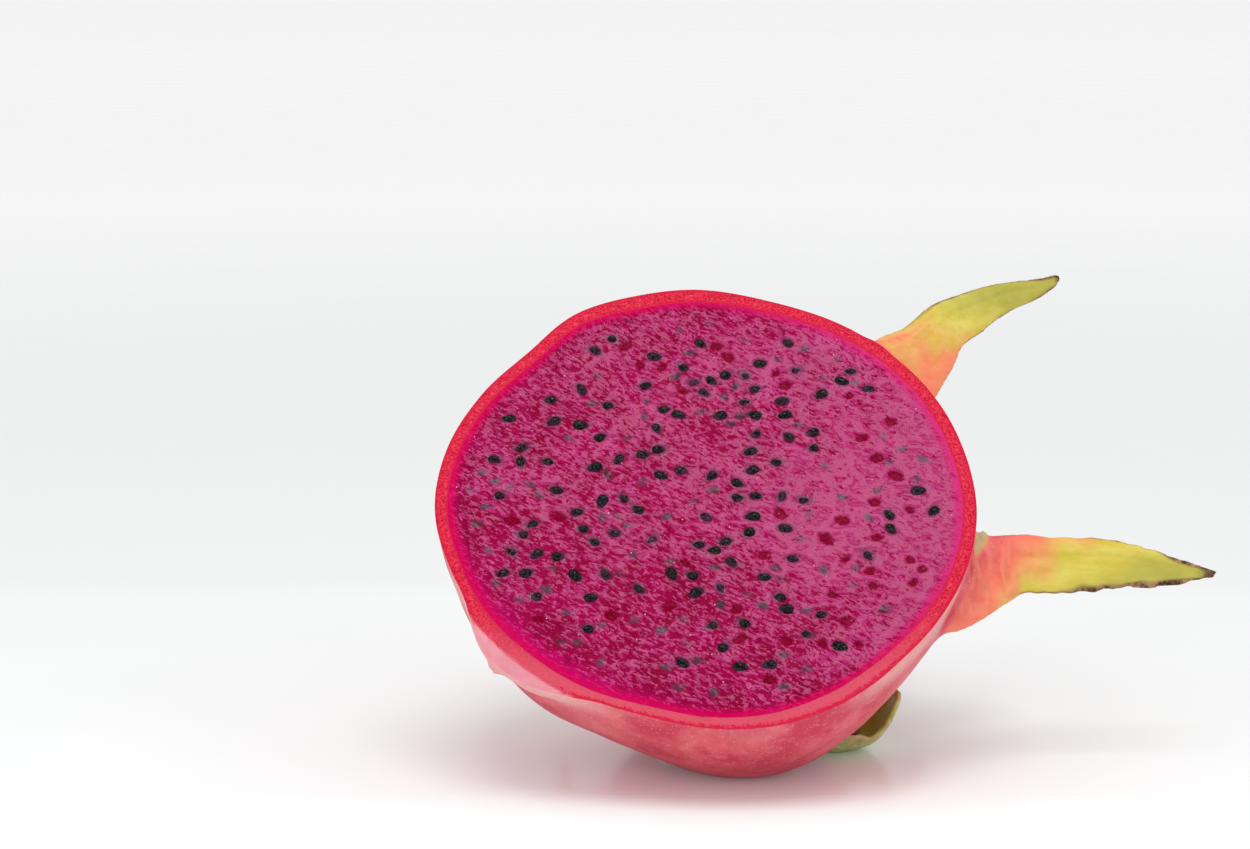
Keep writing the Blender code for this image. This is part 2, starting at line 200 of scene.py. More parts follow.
def cushion_height(points):
    """How far the skin swells out over the bare body, most where the scales grow."""
    height = np.zeros(len(points))
    for along, around, rise, reach in SWELLS:
        away = np.linalg.norm(points - bare_point(along, around), axis=1) / reach
        height = np.maximum(height, rise * np.exp(-away**2))
    for scale in RULED:
        root = bare_point(scale["along"] + CUSHION_SHIFT * scale["length"], scale["around"])
        away = np.linalg.norm(points - root, axis=1) / (CUSHION_REACH * scale["width"])
        height = np.maximum(height, scale.get("cushion", 0.0024) * np.exp(-away**2))
    return height


def over_skin(points):
    """Height of points over the swollen skin."""
    angle = np.arctan2(points[:, 1], points[:, 0])
    flat = np.hypot(points[:, 0], points[:, 1]) / rim_radius(angle)
    share = np.sqrt(flat**2 + (points[:, 2] / DEPTH) ** 2)
    bare = points / np.maximum(share, 1e-6)[:, None]
    return np.linalg.norm(points, axis=1) - np.linalg.norm(bare, axis=1) - cushion_height(bare)


def noise_at(points, size, shift=0.0, stretch=(1.0, 1.0, 1.0)):
    """Smooth noise from -1 to 1 with features of a given size in metres."""
    scaled = points / (np.array(stretch) * size) + shift
    return np.array([noise.noise(Vector(p)) for p in scaled])


# %% [markdown]
# ## Blades of the scales
# Each blade is worked out at the same nine stations as the solid, then drawn finely through them.

# %% Blade functions
FINE_STATIONS = 46
FINE_ACROSS = 15


def ruled_stations(scale):
    """Place, side, face and half width at each station of a hidden scale."""
    root = bare_point(scale["along"], scale["around"])
    out = outward(root)
    root = root + out * cushion_height(root[None])[0]
    forward = np.array((1.0, 0, 0)) - out * out[0]
    forward /= np.linalg.norm(forward)
    side = np.cross(out, forward)
    place = root - out * ROOT_SINK
    rows = []
    for i in range(BLADE_STATIONS):
        k = i / (BLADE_STATIONS - 1)
        lift = math.radians(scale["flare"][0] + (scale["flare"][1] - scale["flare"][0]) * k)
        if i:
            step = scale["length"] / (BLADE_STATIONS - 1)
            place = place + (forward * math.cos(lift) + out * math.sin(lift)) * step
        drawn = 0.28 + 0.72 * (1 - k)
        end = math.sqrt(max(0.0, 1 - max(0.0, (k - 0.80) / 0.215) ** 2))
        half = scale["width"] / 2 * drawn * max(end, 0.18)
        face = out * math.cos(lift) - forward * math.sin(lift)
        rows.append(np.concatenate((place, side, face, [half])))
    return np.array(rows)


def drawn_stations(scale):
    """The same for a scale that follows a path of points."""
    path = np.array(scale["path"]) / 1000
    at = np.linspace(0, len(path) - 1, BLADE_STATIONS)
    points = np.array([np.interp(at, np.arange(len(path)), path[:, i]) for i in range(4)]).T
    facing = np.array(scale["facing"]) / np.linalg.norm(scale["facing"])
    rows = []
    for i, point in enumerate(points):
        ahead = points[min(i + 1, BLADE_STATIONS - 1), :3] - points[max(i - 1, 0), :3]
        ahead /= np.linalg.norm(ahead)
        across = np.cross(facing, ahead)
        across /= np.linalg.norm(across)
        rows.append(np.concatenate((point[:3], across, -np.cross(ahead, across), [point[3]])))
    return np.array(rows)


def refine(rows):
    """Rows at FINE_STATIONS places, on a smooth curve through the given ones."""
    last = len(rows) - 1
    at = np.linspace(0, last, FINE_STATIONS)
    i = np.minimum(at.astype(int), last - 1)
    f = (at - i)[:, None]
    return smooth_between(*(rows[np.clip(i + k, 0, last)] for k in (-1, 0, 1, 2)), f)


def blade_rings(scale):
    """Points of a blade's rings, and for each point its k along, x across and side."""
    rows = refine(ruled_stations(scale) if "flare" in scale else drawn_stations(scale))
    thick, cup = scale.get("thick", 0.0042), scale.get("cup", 0.16)
    rings, facts = [], []
    for i, row in enumerate(rows):
        place, across, face, half = row[:3], row[3:6], row[6:9], row[9]
        across, face = across / np.linalg.norm(across), face / np.linalg.norm(face)
        k = i / (FINE_STATIONS - 1)
        middle = thick * (1 - k) ** 0.9 + BLADE_EDGE
        edge = min(BLADE_EDGE * (2 - k), middle) * 0.8
        bow = min(2 * cup, 0.8) * half * (0.35 + 0.65 * math.sin(math.pi * min(1.0, 0.15 + k)))
        for sign in (1, -1):
            for x in sign * np.linspace(1, -1, FINE_ACROSS):
                depth = edge + (middle - edge) * (1 - x * x)
                margin = max(0.0, abs(x) - 0.6)
                share = 1 if x < 0 else 0.4
                torn = noise.noise(Vector((k * 26, 3.0 * np.sign(x), half * 999))) * margin
                torn *= 2.5 * scale.get("rag", 0.0004) * smoothstep(0.25, 0.45, k) * share
                reach = half * x + torn * np.sign(x)
                rings.append(place + across * reach - face * (sign * depth / 2 + bow * x * x))
                facts.append((k, x, sign))
    return np.array(rings), np.array(facts)


# %% [markdown]
# ## Mesh helpers
# `relax` averages positions or facts with their neighbours. `add_facts` writes what a material
# reads as point attributes, and `finish_piece` gives a piece its place in the frame.

# %% Mesh helpers
def rows_of(items, name, width, kind=float):
    """One row of numbers for each item of a mesh."""
    flat = np.empty(len(items) * width, dtype=kind)
    items.foreach_get(name, flat)
    return flat.reshape(-1, width)


def edges_of(mesh):
    return rows_of(mesh.edges, "vertices", 2, np.int64)


def coords_of(mesh):
    return rows_of(mesh.vertices, "co", 3)


def flat_points(xs, ys):
    """Points in the plane of the cut."""
    return np.stack((xs, ys, np.zeros(len(xs))), axis=1)


def set_coords(mesh, points):
    mesh.vertices.foreach_set("co", np.asarray(points, dtype=np.float32).ravel())
    mesh.update()


def relax(values, edges, times, amount=0.5, mask=None):
    """Values drawn towards the mean of their neighbours, a number of times."""
    values = np.array(values, dtype=float)
    flat = values.reshape(len(values), -1)
    count = np.maximum(np.bincount(edges.ravel(), minlength=len(values)), 1)[:, None]
    weight = amount if mask is None else amount * mask[:, None]
    for _ in range(times):
        total = np.zeros_like(flat)
        for c in range(flat.shape[1]):
            total[:, c] = sum(
                np.bincount(edges[:, a], weights=flat[edges[:, b], c], minlength=len(values))
                for a, b in ((0, 1), (1, 0))
            )
        flat = flat + (total / count - flat) * weight
    return flat.reshape(values.shape)


def add_facts(mesh, facts):
    for name, values in facts.items():
        values = np.asarray(values, dtype=np.float32)
        kind = "FLOAT_VECTOR" if values.ndim == 2 else "FLOAT"
        attribute = mesh.attributes.get(name) or mesh.attributes.new(name, kind, "POINT")
        attribute.data.foreach_set("vector" if values.ndim == 2 else "value", values.ravel())


def finish_piece(obj, node):
    """Smooth shading, and the piece's place in the frame."""
    for polygon in obj.data.polygons:
        polygon.use_smooth = True
    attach(obj, "root")
    if node:
        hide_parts(node)
    print(obj.name, len(obj.data.vertices), "points",
          sum(len(p.vertices) - 2 for p in obj.data.polygons), "triangles")


def new_object(name, data):
    obj = bpy.data.objects.new(name, data)
    bpy.context.scene.collection.objects.link(obj)
    return obj


def evaluated_mesh(obj):
    """Plain mesh of an object with its modifiers worked out."""
    bpy.context.view_layer.update()
    return bpy.data.meshes.new_from_object(obj.evaluated_get(bpy.context.evaluated_depsgraph_get()))


def cut_away(bm, side):
    """Cut off what lies past the origin on one side, given as a direction."""
    bmesh.ops.bisect_plane(
        bm, geom=bm.verts[:] + bm.edges[:] + bm.faces[:], dist=1e-7,
        plane_co=(0, 0, 0), plane_no=side, clear_outer=True,
    )


def face_outwards(mesh, hard=()):
    """Turn the faces outwards, and shade the edges between two points of `hard` as sharp."""
    bm = bmesh.new()
    bm.from_mesh(mesh)
    bmesh.ops.recalc_face_normals(bm, faces=bm.faces)
    for edge in bm.edges:
        edge.smooth = not all(vert.index in hard for vert in edge.verts)
    bm.to_mesh(mesh)
    bm.free()


# %% [markdown]
# ## Skin and scales
# A fine body and the fine blades are fused by a voxel remesh, eased where they meet, and given
# lumps, ribs and wrinkles. Then the knife and the table cut them flat.

# %% Fuse the body and the blades
VOXEL = 0.00062
BODY_SEGMENTS, BODY_RINGS = 200, 140
KNIFE_STOCK = 0.0025


def body_parts():
    """Points and faces of the body with its swellings, cut off a little past the knife's plane."""
    bm = bmesh.new()
    bmesh.ops.create_uvsphere(bm, u_segments=BODY_SEGMENTS, v_segments=BODY_RINGS, radius=1.0)
    mesh = bpy.data.meshes.new("body")
    bm.to_mesh(mesh)
    bm.free()
    unit = coords_of(mesh)
    angle = np.arctan2(unit[:, 1], unit[:, 0])
    flat = np.hypot(unit[:, 0], unit[:, 1]) * rim_radius(angle)
    place = np.stack((flat * np.cos(angle), flat * np.sin(angle), unit[:, 2] * DEPTH), axis=1)
    place += outward(place) * cushion_height(place)[:, None]
    place[:, 2] = np.minimum(place[:, 2], KNIFE_STOCK)
    return place, [tuple(p.vertices) for p in mesh.polygons]


points, faces = body_parts()
all_points, all_faces = [points], list(faces)
offset = len(points)
blade_points, blade_facts = [], []
for index, scale in enumerate(RULED + DRAWN):
    rings, facts = blade_rings(scale)
    count = 2 * FINE_ACROSS
    grid = np.arange(len(rings)).reshape(-1, count) + offset
    for a, b in zip(grid, grid[1:]):
        all_faces += [(a[j], a[(j + 1) % count], b[(j + 1) % count], b[j]) for j in range(count)]
    all_faces += [tuple(grid[0][::-1]), tuple(grid[-1])]
    all_points.append(rings)
    offset += len(rings)
    blade_points.append(rings)
    blade_facts.append(np.column_stack((np.full(len(rings), index), facts)))
blade_points, blade_facts = np.concatenate(blade_points), np.concatenate(blade_facts)

rough = bpy.data.meshes.new("rough_skin")
rough.from_pydata(np.concatenate(all_points).tolist(), [], [tuple(map(int, f)) for f in all_faces])
worker = new_object("rough_skin", rough)
remesh = worker.modifiers.new("fuse", "REMESH")
remesh.mode = "VOXEL"
remesh.voxel_size = VOXEL
skin_mesh = evaluated_mesh(worker)
bpy.data.objects.remove(worker)
print("fused skin", len(skin_mesh.vertices), "points")

# %% [markdown]
# Each point of the fused skin takes the facts of the nearest blade point: which scale it is on, how
# far along, how far across and which side.

# %% Facts, easing and relief
LUMP_HEIGHT, SMALL_LUMP_HEIGHT = 0.00038, 0.00016
RIB_HEIGHT, MIDRIB_DEPTH, WRINKLE_HEIGHT = 0.00005, 0.00022, 0.00100
blade_tree = KDTree(len(blade_points))
for i, p in enumerate(blade_points):
    blade_tree.insert(p, i)
blade_tree.balance()

points = coords_of(skin_mesh)
edges = edges_of(skin_mesh)
points = relax(points, edges, 2, 0.6)


def blade_facts_at(points):
    """Facts of the nearest blade point, how far off it is, and a mask of being on a blade."""
    found = [blade_tree.find(p) for p in points]
    nearest = np.array([f[1] for f in found])
    away = np.array([f[2] for f in found])
    on_blade = 1 - smoothstep(0.0007, 0.0022, away)
    return blade_facts[nearest], away, on_blade


facts, away, on_blade = blade_facts_at(points)
angle = np.degrees(np.arctan2(points[:, 1], points[:, 0]))
right_side = smoothstep(-50, -40, angle) * (1 - smoothstep(62, 70, angle))
flat = np.hypot(points[:, 0], points[:, 1])
limit = rim_radius(np.radians(angle)) + 0.0002 + 2.6 * np.maximum(0, -0.0006 - points[:, 2])
shrink = np.where((flat > limit) & (points[:, 2] > -0.0036), limit / np.maximum(flat, 1e-6), 1.0)
points[:, :2] *= (1 + (shrink - 1) * right_side)[:, None]
height = over_skin(points)
junction = (1 - smoothstep(0.0006, 0.0030, np.abs(height))) * (1 - smoothstep(0.0012, 0.0030, away))
points = relax(points, edges, 26, 0.6, junction)
set_coords(skin_mesh, points)

normals = rows_of(skin_mesh.vertex_normals, "vector", 3, np.float32).astype(float)
k, x = facts[:, 1], facts[:, 2]
stands = smoothstep(0.0004, 0.0020, height) * on_blade
lumps = LUMP_HEIGHT * noise_at(points, 0.013) + SMALL_LUMP_HEIGHT * noise_at(points, 0.0055, 9.0)
lumps *= 1 - 0.7 * stands
ribs = np.sin(x * 17 + 3 * noise_at(points, 0.009, 4.0)) * RIB_HEIGHT * stands
midrib = -MIDRIB_DEPTH * np.exp(-((x - 0.25) / 0.09) ** 2) * stands * smoothstep(0.15, 0.4, k)
wrinkle_zone = (facts[:, 0] == RIGHT) * on_blade * (1 - smoothstep(0.34, 0.48, k))
wrinkle_zone *= 1 - smoothstep(0.45, 0.80, np.abs(x))
wrinkles = WRINKLE_HEIGHT * noise_at(points, 0.0016, 2.0, (0.8, 2.2, 1.2))
wrinkles = wrinkles * relax(wrinkle_zone, edges, 6)
near_rim = smoothstep(-0.004, 0.0, points[:, 2])
points = points + normals * ((lumps + wrinkles) * (1 - 0.8 * near_rim) + ribs + midrib)[:, None]
set_coords(skin_mesh, points)
print("skin eased and given relief")

# %% [markdown]
# ## The knife's cut
# The skin is cut in the plane z = 0 of the fruit's frame. The cut edge of the peel is a band of
# fine rings from the outline in to the flesh, and the hollow behind it closes the shell.

# %% Cut edge of the peel
BAND_RINGS = 13
HOLLOW_RINGS = 7
SKIN_LIP = 0.00006
GRAIN_HEIGHT, WAVE_HEIGHT, CROWN_HEIGHT, HIGHEST_GRAIN = 0.00007, 0.00010, 0.00012, 0.00025


def outline_loop(bm):
    """Points of the longest open loop left by the knife, in order."""
    edges = {e for e in bm.edges if e.is_boundary}
    loops = []
    while edges:
        edge = edges.pop()
        loop = [edge.verts[0], edge.verts[1]]
        while True:
            following = [e for e in loop[-1].link_edges if e in edges]
            if not following:
                break
            edges.discard(following[0])
            loop.append(following[0].other_vert(loop[-1]))
        loops.append(loop[:-1] if loop[0] is loop[-1] else loop)
    return max(loops, key=len)


bm = bmesh.new()
bm.from_mesh(skin_mesh)
cut_away(bm, (0, 0, 1))
band_layer = bm.verts.layers.float.new("band")
cut_layer = bm.verts.layers.float.new("cut")
local_layer = bm.verts.layers.float_vector.new("local")
loop = outline_loop(bm)
outer = np.array([v.co[:] for v in loop])
angles = np.arctan2(outer[:, 1], outer[:, 0])
outer_radius = np.hypot(outer[:, 0], outer[:, 1])
inner_radius = rim_radius(angles) - edge_width(angles)
rings = [loop]
for j in range(1, BAND_RINGS + 1):
    share = (j / BAND_RINGS) ** 0.9
    radius = outer_radius + (inner_radius - outer_radius) * share
    if j == 1:
        radius = outer_radius - SKIN_LIP
    spots = flat_points(radius * np.cos(angles), radius * np.sin(angles))
    grain = GRAIN_HEIGHT * noise_at(spots, 0.0007) + WAVE_HEIGHT * noise_at(spots, 0.0030, 5.0)
    crown = CROWN_HEIGHT * math.sin(math.pi * share)
    spots[:, 2] = (grain * math.sin(math.pi * min(1.0, share * 1.2)) + crown) * (j < BAND_RINGS)
    spots[:, 2] = np.minimum(spots[:, 2], HIGHEST_GRAIN)
    ring = [bm.verts.new(p) for p in spots]
    for vert in ring:
        vert[band_layer] = 1 - share
        vert[cut_layer] = 1.0
    rings.append(ring)
for j in range(1, HOLLOW_RINGS + 1):
    turn = math.pi / 2 * j / (HOLLOW_RINGS + 1)
    depth = -(DEPTH - PEEL_THICKNESS) * math.sin(turn)
    radius = inner_radius * math.cos(turn)
    rings.append([
        bm.verts.new((r * math.cos(a), r * math.sin(a), depth)) for r, a in zip(radius, angles)
    ])
for ring, following in zip(rings, rings[1:]):
    for i in range(len(loop)):
        n = (i + 1) % len(loop)
        bm.faces.new((ring[i], ring[n], following[n], following[i]))
inner_ring = rings[BAND_RINGS]
for i, vert in enumerate(inner_ring):
    bm.edges.get((vert, inner_ring[(i + 1) % len(loop)])).smooth = False
pole = bm.verts.new((0, 0, -(DEPTH - PEEL_THICKNESS)))
for i in range(len(loop)):
    bm.faces.new((rings[-1][i], rings[-1][(i + 1) % len(loop)], pole))

# %% [markdown]
# The table cuts the underside flat at its own height, and each open place is closed again.

# %% Flat spots on the table
for vert in bm.verts:
    vert[local_layer] = vert.co
bm.transform(TO_TABLE)
cut_away(bm, (0, 0, -1))
bmesh.ops.holes_fill(bm, edges=[e for e in bm.edges if e.is_boundary], sides=0)
bmesh.ops.triangulate(bm, faces=[f for f in bm.faces if len(f.verts) > 4])
bmesh.ops.recalc_face_normals(bm, faces=bm.faces)
open_edges = sum(1 for e in bm.edges if e.is_boundary)
bm.to_mesh(skin_mesh)
bm.free()
print("skin cut, open edges left:", open_edges)

# %% [markdown]
# ## Facts for the skin's colours
# Masks say where the skin is green, dry, pale or on the hollow side of a scale. The dry mask also
# holds painted shade: dark brown in the hollow near the root of the scale under the right side.
# `past` is how far a point lies past the place where its scale turns green.

# %% Skin facts
low, high = (np.array(c) for c in CAD_BOX)
set_coords(skin_mesh, np.clip(coords_of(skin_mesh), low, high))
local = rows_of(skin_mesh.attributes["local"].data, "vector", 3, np.float32).astype(float)
edges = edges_of(skin_mesh)
facts, _, on_blade = blade_facts_at(local)
scale_index, k, x, side = facts.T
height = over_skin(local)
stands = smoothstep(0.0002, 0.0014, height) * on_blade
turns, leans = (
    np.array([s.get(name, usual) for s in RULED + DRAWN])[scale_index.astype(int)]
    for name, usual in (("turn", 0.50), ("lean", 0.0))
)
past = (k - turns - leans * x) / (1 - turns)
past = np.where(turns > 1, -1.0, past)
ragged = 0.10 * noise_at(local, 0.004)
is_upper, is_right, is_under, is_scrap = (scale_index == i for i in (UPPER, RIGHT, UNDER, SCRAP))
is_cut = (scale_index == SLIVER) | (scale_index == FIN)
yellow = np.clip((past + 1.4 * ragged + 0.48) / 0.80, 0, 1) * stands
green = smoothstep(0.22, 0.80, past + ragged + 0.06 * is_upper) * stands
margin = smoothstep(0.80, 0.99, np.abs(x)) * smoothstep(-0.25, 0.25, past) * stands
low_margin = is_right * smoothstep(0.60, 0.93, -x + 1.5 * ragged) * smoothstep(0.42, 0.66, k)
end_margin = smoothstep(0.30, 0.80, np.abs(x)) * smoothstep(0.70, 0.86, k) * (is_right + is_upper)
dry_and_hollow_shade = np.maximum(smoothstep(0.90, 0.97, k + 0.4 * ragged) * stands, 0.75 * margin)
dry_and_hollow_shade *= ~is_cut
dry_and_hollow_shade = np.maximum(dry_and_hollow_shade, np.maximum(low_margin, end_margin) * stands)
under_rim = np.maximum(smoothstep(0.90, 1.0, np.abs(x)), smoothstep(0.97, 1.0, k)) * is_under * stands
# Painted shade: the hollow side of the scale under the right side is painted dark brown near its root.
painted_hollow_shade = 0.8 * (1 - smoothstep(0.50, 0.72, k + 2 * ragged)) * (side > 0) * stands
dry_and_hollow_shade = np.where(is_under, painted_hollow_shade, dry_and_hollow_shade) * ~is_scrap
inner_side = (side >= 0) * stands
near_cut = smoothstep(-0.0075, -0.0012, local[:, 2])
around = np.degrees(np.arctan2(local[:, 1], local[:, 0]))
low_left = smoothstep(-172, -150, around) * (1 - smoothstep(-126, -106, around))
low_right = smoothstep(-62, -48, around) * (1 - smoothstep(-24, -12, around))
pale = near_cut * np.clip(low_left + 0.8 * low_right, 0, 1) * (1 - stands * ~is_cut)
over = (np.hypot(local[:, 0], local[:, 1]) - rim_radius(np.radians(around))) * 1000
patch = smoothstep(0.95, 1.35, over + 0.25 * ragged)
patch *= smoothstep(-160, -152, around) * (1 - smoothstep(-118, -108, around))
fold = is_right * stands * smoothstep(0.10, 0.20, k) * (1 - smoothstep(0.30, 0.42, k))
fold = fold * (1 - smoothstep(0.70, 0.95, np.abs(x)))
soft = {
    "fold": fold, "yellow": yellow, "green": green, "dry_and_hollow_shade": dry_and_hollow_shade, "inner": inner_side, "pale": pale,
    "olive": is_under * stands, "scrap": np.maximum(is_scrap * on_blade, 0.9 * under_rim),
}
soft = {name: relax(values, edges, 3) for name, values in soft.items()}
add_facts(skin_mesh, {**soft, "patch": patch, "stands": stands,
                      "tip": k * ~(is_cut | is_scrap | is_under)})
peel = new_object("peel_skin", skin_mesh)
print("skin masks:", ", ".join(soft))

# %% [markdown]
# ## Where the seeds lie
# Seeds, hollows that seeds fell out of, and seeds that show dimly through the pulp are dealt out at
# random, never closer than a set spacing, and thinner near the peel.

# %% Seed places
SEEDS, PITS, SUNKEN = 110, 40, 84
SPACING = 0.0026
EDGE_FREE = 0.0046
draw = random.Random(21)


def deal(count, taken, weight, spacing, edge_free):
    places = []
    while len(places) < count:
        angle = draw.uniform(-math.pi, math.pi)
        limit = float(rim_radius(angle)) - PEEL_THICKNESS - edge_free
        reach = math.sqrt(draw.random()) * limit
        spot = (reach * math.cos(angle), reach * math.sin(angle))
        if draw.random() > weight(*spot):
            continue
        if all(math.dist(spot, other) > spacing for other in taken + places):
            places.append(spot)
    return places


def seed_weight(px, py):
    middle = math.exp(-((px - 0.004) ** 2 + (py - 0.004) ** 2) / 0.018**2)
    smooth_right = 0.35 if px > 0.020 and abs(py) < 0.020 else 1.0
    clump = 0.5 + 0.9 * noise.noise(Vector((px, py, 0.3)) / 0.0055)
    return (0.40 + 0.60 * middle) * smooth_right * min(1.0, max(0.08, clump))


seeds = deal(SEEDS, [], seed_weight, SPACING, EDGE_FREE)
pits = deal(PITS, seeds, lambda px, py: 0.3 + 12 * max(0.0, px), SPACING, EDGE_FREE * 0.9)
sunken = deal(SUNKEN, seeds + pits, lambda px, py: 0.4 + 10 * abs(px), SPACING * 0.95, EDGE_FREE * 0.8)
turn_of = [draw.gauss(-0.1, 0.5) for _ in range(SEEDS + PITS + SUNKEN)]
print(len(seeds), "seeds,", len(pits), "hollows,", len(sunken), "sunken seeds")

# %% [markdown]
# ## Flesh
# The cut surface is a disc of even cells. Crevices, hollows and the beds of the seeds are pressed
# into it, and the rounded underside closes it inside the peel.

# %% Flesh surface
GRID = 300
CREVICE_DEPTH, BED_DEPTH, PIT_DEPTH = 0.00026, 0.00018, 0.00045
BED_HALF, PIT_HALF, SUNKEN_HALF = (0.00135, 0.00095), (0.00125, 0.00088), (0.00150, 0.00100)
GRAIN_LEAN = 31
PEEL_SLACK, HIGHEST_PULP = 0.00001, 0.00028


def disc_grid(count):
    """Square grid wrapped evenly over a unit disc: radius and angle of each point."""
    line = np.linspace(-1, 1, count)
    u, v = np.meshgrid(line, line, indexing="ij")
    wide = np.abs(u) > np.abs(v)
    safe_u, safe_v = np.where(u == 0, 1e-9, u), np.where(v == 0, 1e-9, v)
    radius = np.where(wide, u, v)
    angle = np.where(wide, math.pi / 4 * v / safe_u, math.pi / 2 - math.pi / 4 * u / safe_v)
    xs, ys = radius * np.cos(angle), radius * np.sin(angle)
    return np.hypot(xs, ys).ravel(), np.arctan2(ys, xs).ravel()


share, angle = disc_grid(GRID)
degrees = np.degrees(angle)
flesh_radius = rim_radius(angle) - edge_width(angle) - PEEL_SLACK
face = flat_points(share * flesh_radius * np.cos(angle), share * flesh_radius * np.sin(angle))
lean = math.radians(-GRAIN_LEAN)
grain = flat_points(
    face[:, 0] * math.cos(lean) + face[:, 1] * math.sin(lean),
    -face[:, 0] * math.sin(lean) + face[:, 1] * math.cos(lean),
)
bends = 0.0016 * flat_points(noise_at(face, 0.004, 3.0), noise_at(face, 0.004, 8.0))
bends += 0.0004 * flat_points(noise_at(face, 0.0013, 13.0), noise_at(face, 0.0013, 18.0))
coarse = noise_at(grain + bends, 0.00115, 0.0, (1.9, 0.9, 1.0))
fine = noise_at(grain + bends, 0.00044, 6.0, (1.5, 0.9, 1.0))
patchy = noise_at(face, 0.012, 2.0)
to_edge = (1 - share) * flesh_radius
lower_left = near_angle(degrees, 224, 38)
zone_width = 0.0017 + 0.0026 * lower_left
rim_zone = 1 - smoothstep(0.25, 1.0, to_edge / zone_width + 0.45 * coarse + 0.25 * fine)
rim_soft = 1 - smoothstep(0.10, 1.40, to_edge / zone_width + 0.35 * coarse)
outer_low = near_angle(degrees, 235, 80) * smoothstep(0.30, 0.80, share)
right = near_angle(degrees, 20, 62)
calm = np.exp(-(((face[:, 0] - 0.026) / 0.016) ** 2 + ((face[:, 1] + 0.003) / 0.014) ** 2))
calm = np.maximum(calm, near_angle(degrees, -2, 42) * smoothstep(0.55, 0.9, share))
bottom = smoothstep(0.004, -0.026, face[:, 1])
busy = np.clip(0.62 + 0.25 * bottom + 0.45 * patchy - 0.25 * smoothstep(-0.01, 0.03, face[:, 0])
               - 0.75 * calm, 0.06, 1.0)
density = busy * (1 - rim_zone)
floor_level = 0.42 - 0.42 * density
crevice = smoothstep(-0.40, 0.40, coarse + 0.70 * fine - floor_level + 0.1) * (1 - rim_zone)
relief = -CREVICE_DEPTH * crevice + 0.00007 * noise_at(face, 0.0028, 5.0) * (1 - rim_zone)
relief += 0.00010 * fine * (1 - rim_zone)
relief *= smoothstep(0.0, 0.0008, to_edge)
relief += 0.00010 * rim_zone * noise_at(face, 0.0035, 1.0)


def oval(spot, turn, half, size=1.0):
    """Distance from spot in an oval measure that is 1 on its edge, at half length and width."""
    dx, dy = face[:, 0] - spot[0], face[:, 1] - spot[1]
    along = dx * math.cos(turn) + dy * math.sin(turn)
    over = -dx * math.sin(turn) + dy * math.cos(turn)
    return np.hypot(along / (half[0] * size), over / (half[1] * size))


bed, halo = np.zeros(len(face)), np.zeros(len(face))
for spot, turn in zip(seeds, turn_of):
    away = oval(spot, turn, BED_HALF) + 0.18 * fine
    bed = np.maximum(bed, 1 - smoothstep(0.70, 1.30, away))
    halo = np.maximum(halo, draw.uniform(0.3, 1.0) * (1 - smoothstep(0.8, 2.4, away + 0.3 * coarse)))
pit = np.zeros(len(face))
for spot, turn in zip(pits, turn_of[SEEDS:]):
    size = draw.uniform(0.65, 1.25)
    away = oval(spot, turn, PIT_HALF, size) + 0.4 * fine + 0.3 * coarse
    pit = np.maximum(pit, 1 - smoothstep(0.65, 1.15, away))
under = np.zeros(len(face))
for spot, turn in zip(sunken, turn_of[SEEDS + PITS:]):
    away = oval(spot, turn, SUNKEN_HALF)
    under = np.maximum(under, draw.uniform(0.55, 1.0) * (1 - smoothstep(0.2, 1.35, away + 0.3 * fine)))
relief -= BED_DEPTH * bed * (1 - pit) + PIT_DEPTH * pit
face[:, 2] = np.minimum(relief, HIGHEST_PULP)

# %% [markdown]
# The disc's border runs on into a rounded bowl that closes the flesh below.

# %% Flesh piece
index = np.arange(GRID * GRID).reshape(GRID, GRID)
corners = (index[:-1, :-1], index[1:, :-1], index[1:, 1:], index[:-1, 1:])
quads = np.stack(corners, axis=-1).reshape(-1, 4)
border = np.concatenate((index[:-1, 0], index[-1, :-1], index[:0:-1, -1], index[0, :0:-1]))
lower, lower_faces = [face], quads.tolist()
previous = border
offset = len(face)
border_angle = np.arctan2(face[border, 1], face[border, 0])
bowl_radius = rim_radius(border_angle) - PEEL_THICKNESS - GAP
bowl_depth = DEPTH - PEEL_THICKNESS - GAP
for j in range(1, HOLLOW_RINGS + 1):
    turn = math.pi / 2 * (j - 0.6) / (HOLLOW_RINGS + 0.4)
    radius = bowl_radius * math.cos(turn)
    below = flat_points(radius * np.cos(border_angle), radius * np.sin(border_angle))
    below[:, 2] = -bowl_depth * math.sin(turn)
    lower.append(below)
    ring = np.arange(len(border)) + offset
    lower_faces += np.stack((previous, np.roll(previous, -1), np.roll(ring, -1), ring), axis=-1).tolist()
    previous, offset = ring, offset + len(border)
lower.append(np.array([[0, 0, -bowl_depth]]))
lower_faces += [(int(a), int(b), offset) for a, b in zip(previous, np.roll(previous, -1))]
flesh_local = np.concatenate(lower)
flesh_mesh = bpy.data.meshes.new("flesh_pulp")
flesh_mesh.from_pydata(flesh_local.tolist(), [], lower_faces)
pad = len(flesh_local) - len(face)
face_facts = {
    "crevice": crevice, "pit": pit, "bed": bed, "under": under, "halo": halo, "hot": lower_left,
    "right": right, "outer_low": outer_low, "calm": calm, "busy": busy, "to_edge": to_edge * 1000,
}
add_facts(flesh_mesh, {name: np.pad(values, (0, pad)) for name, values in face_facts.items()})
add_facts(flesh_mesh, {"local": flesh_local, "rim": np.pad(rim_soft, (0, pad), constant_values=1.0)})
flesh_mesh.transform(TO_TABLE)
face_outwards(flesh_mesh, set(border.tolist()))
flesh = new_object("flesh_pulp", flesh_mesh)
print("flesh relief from", round(float(face[:, 2].min()) * 1000, 2), "to",
      round(float(face[:, 2].max()) * 1000, 2), "mm")

# %% [markdown]
# ## Shader helper
# A `Field` holds a value or colour inside a material and combines with the usual operators.

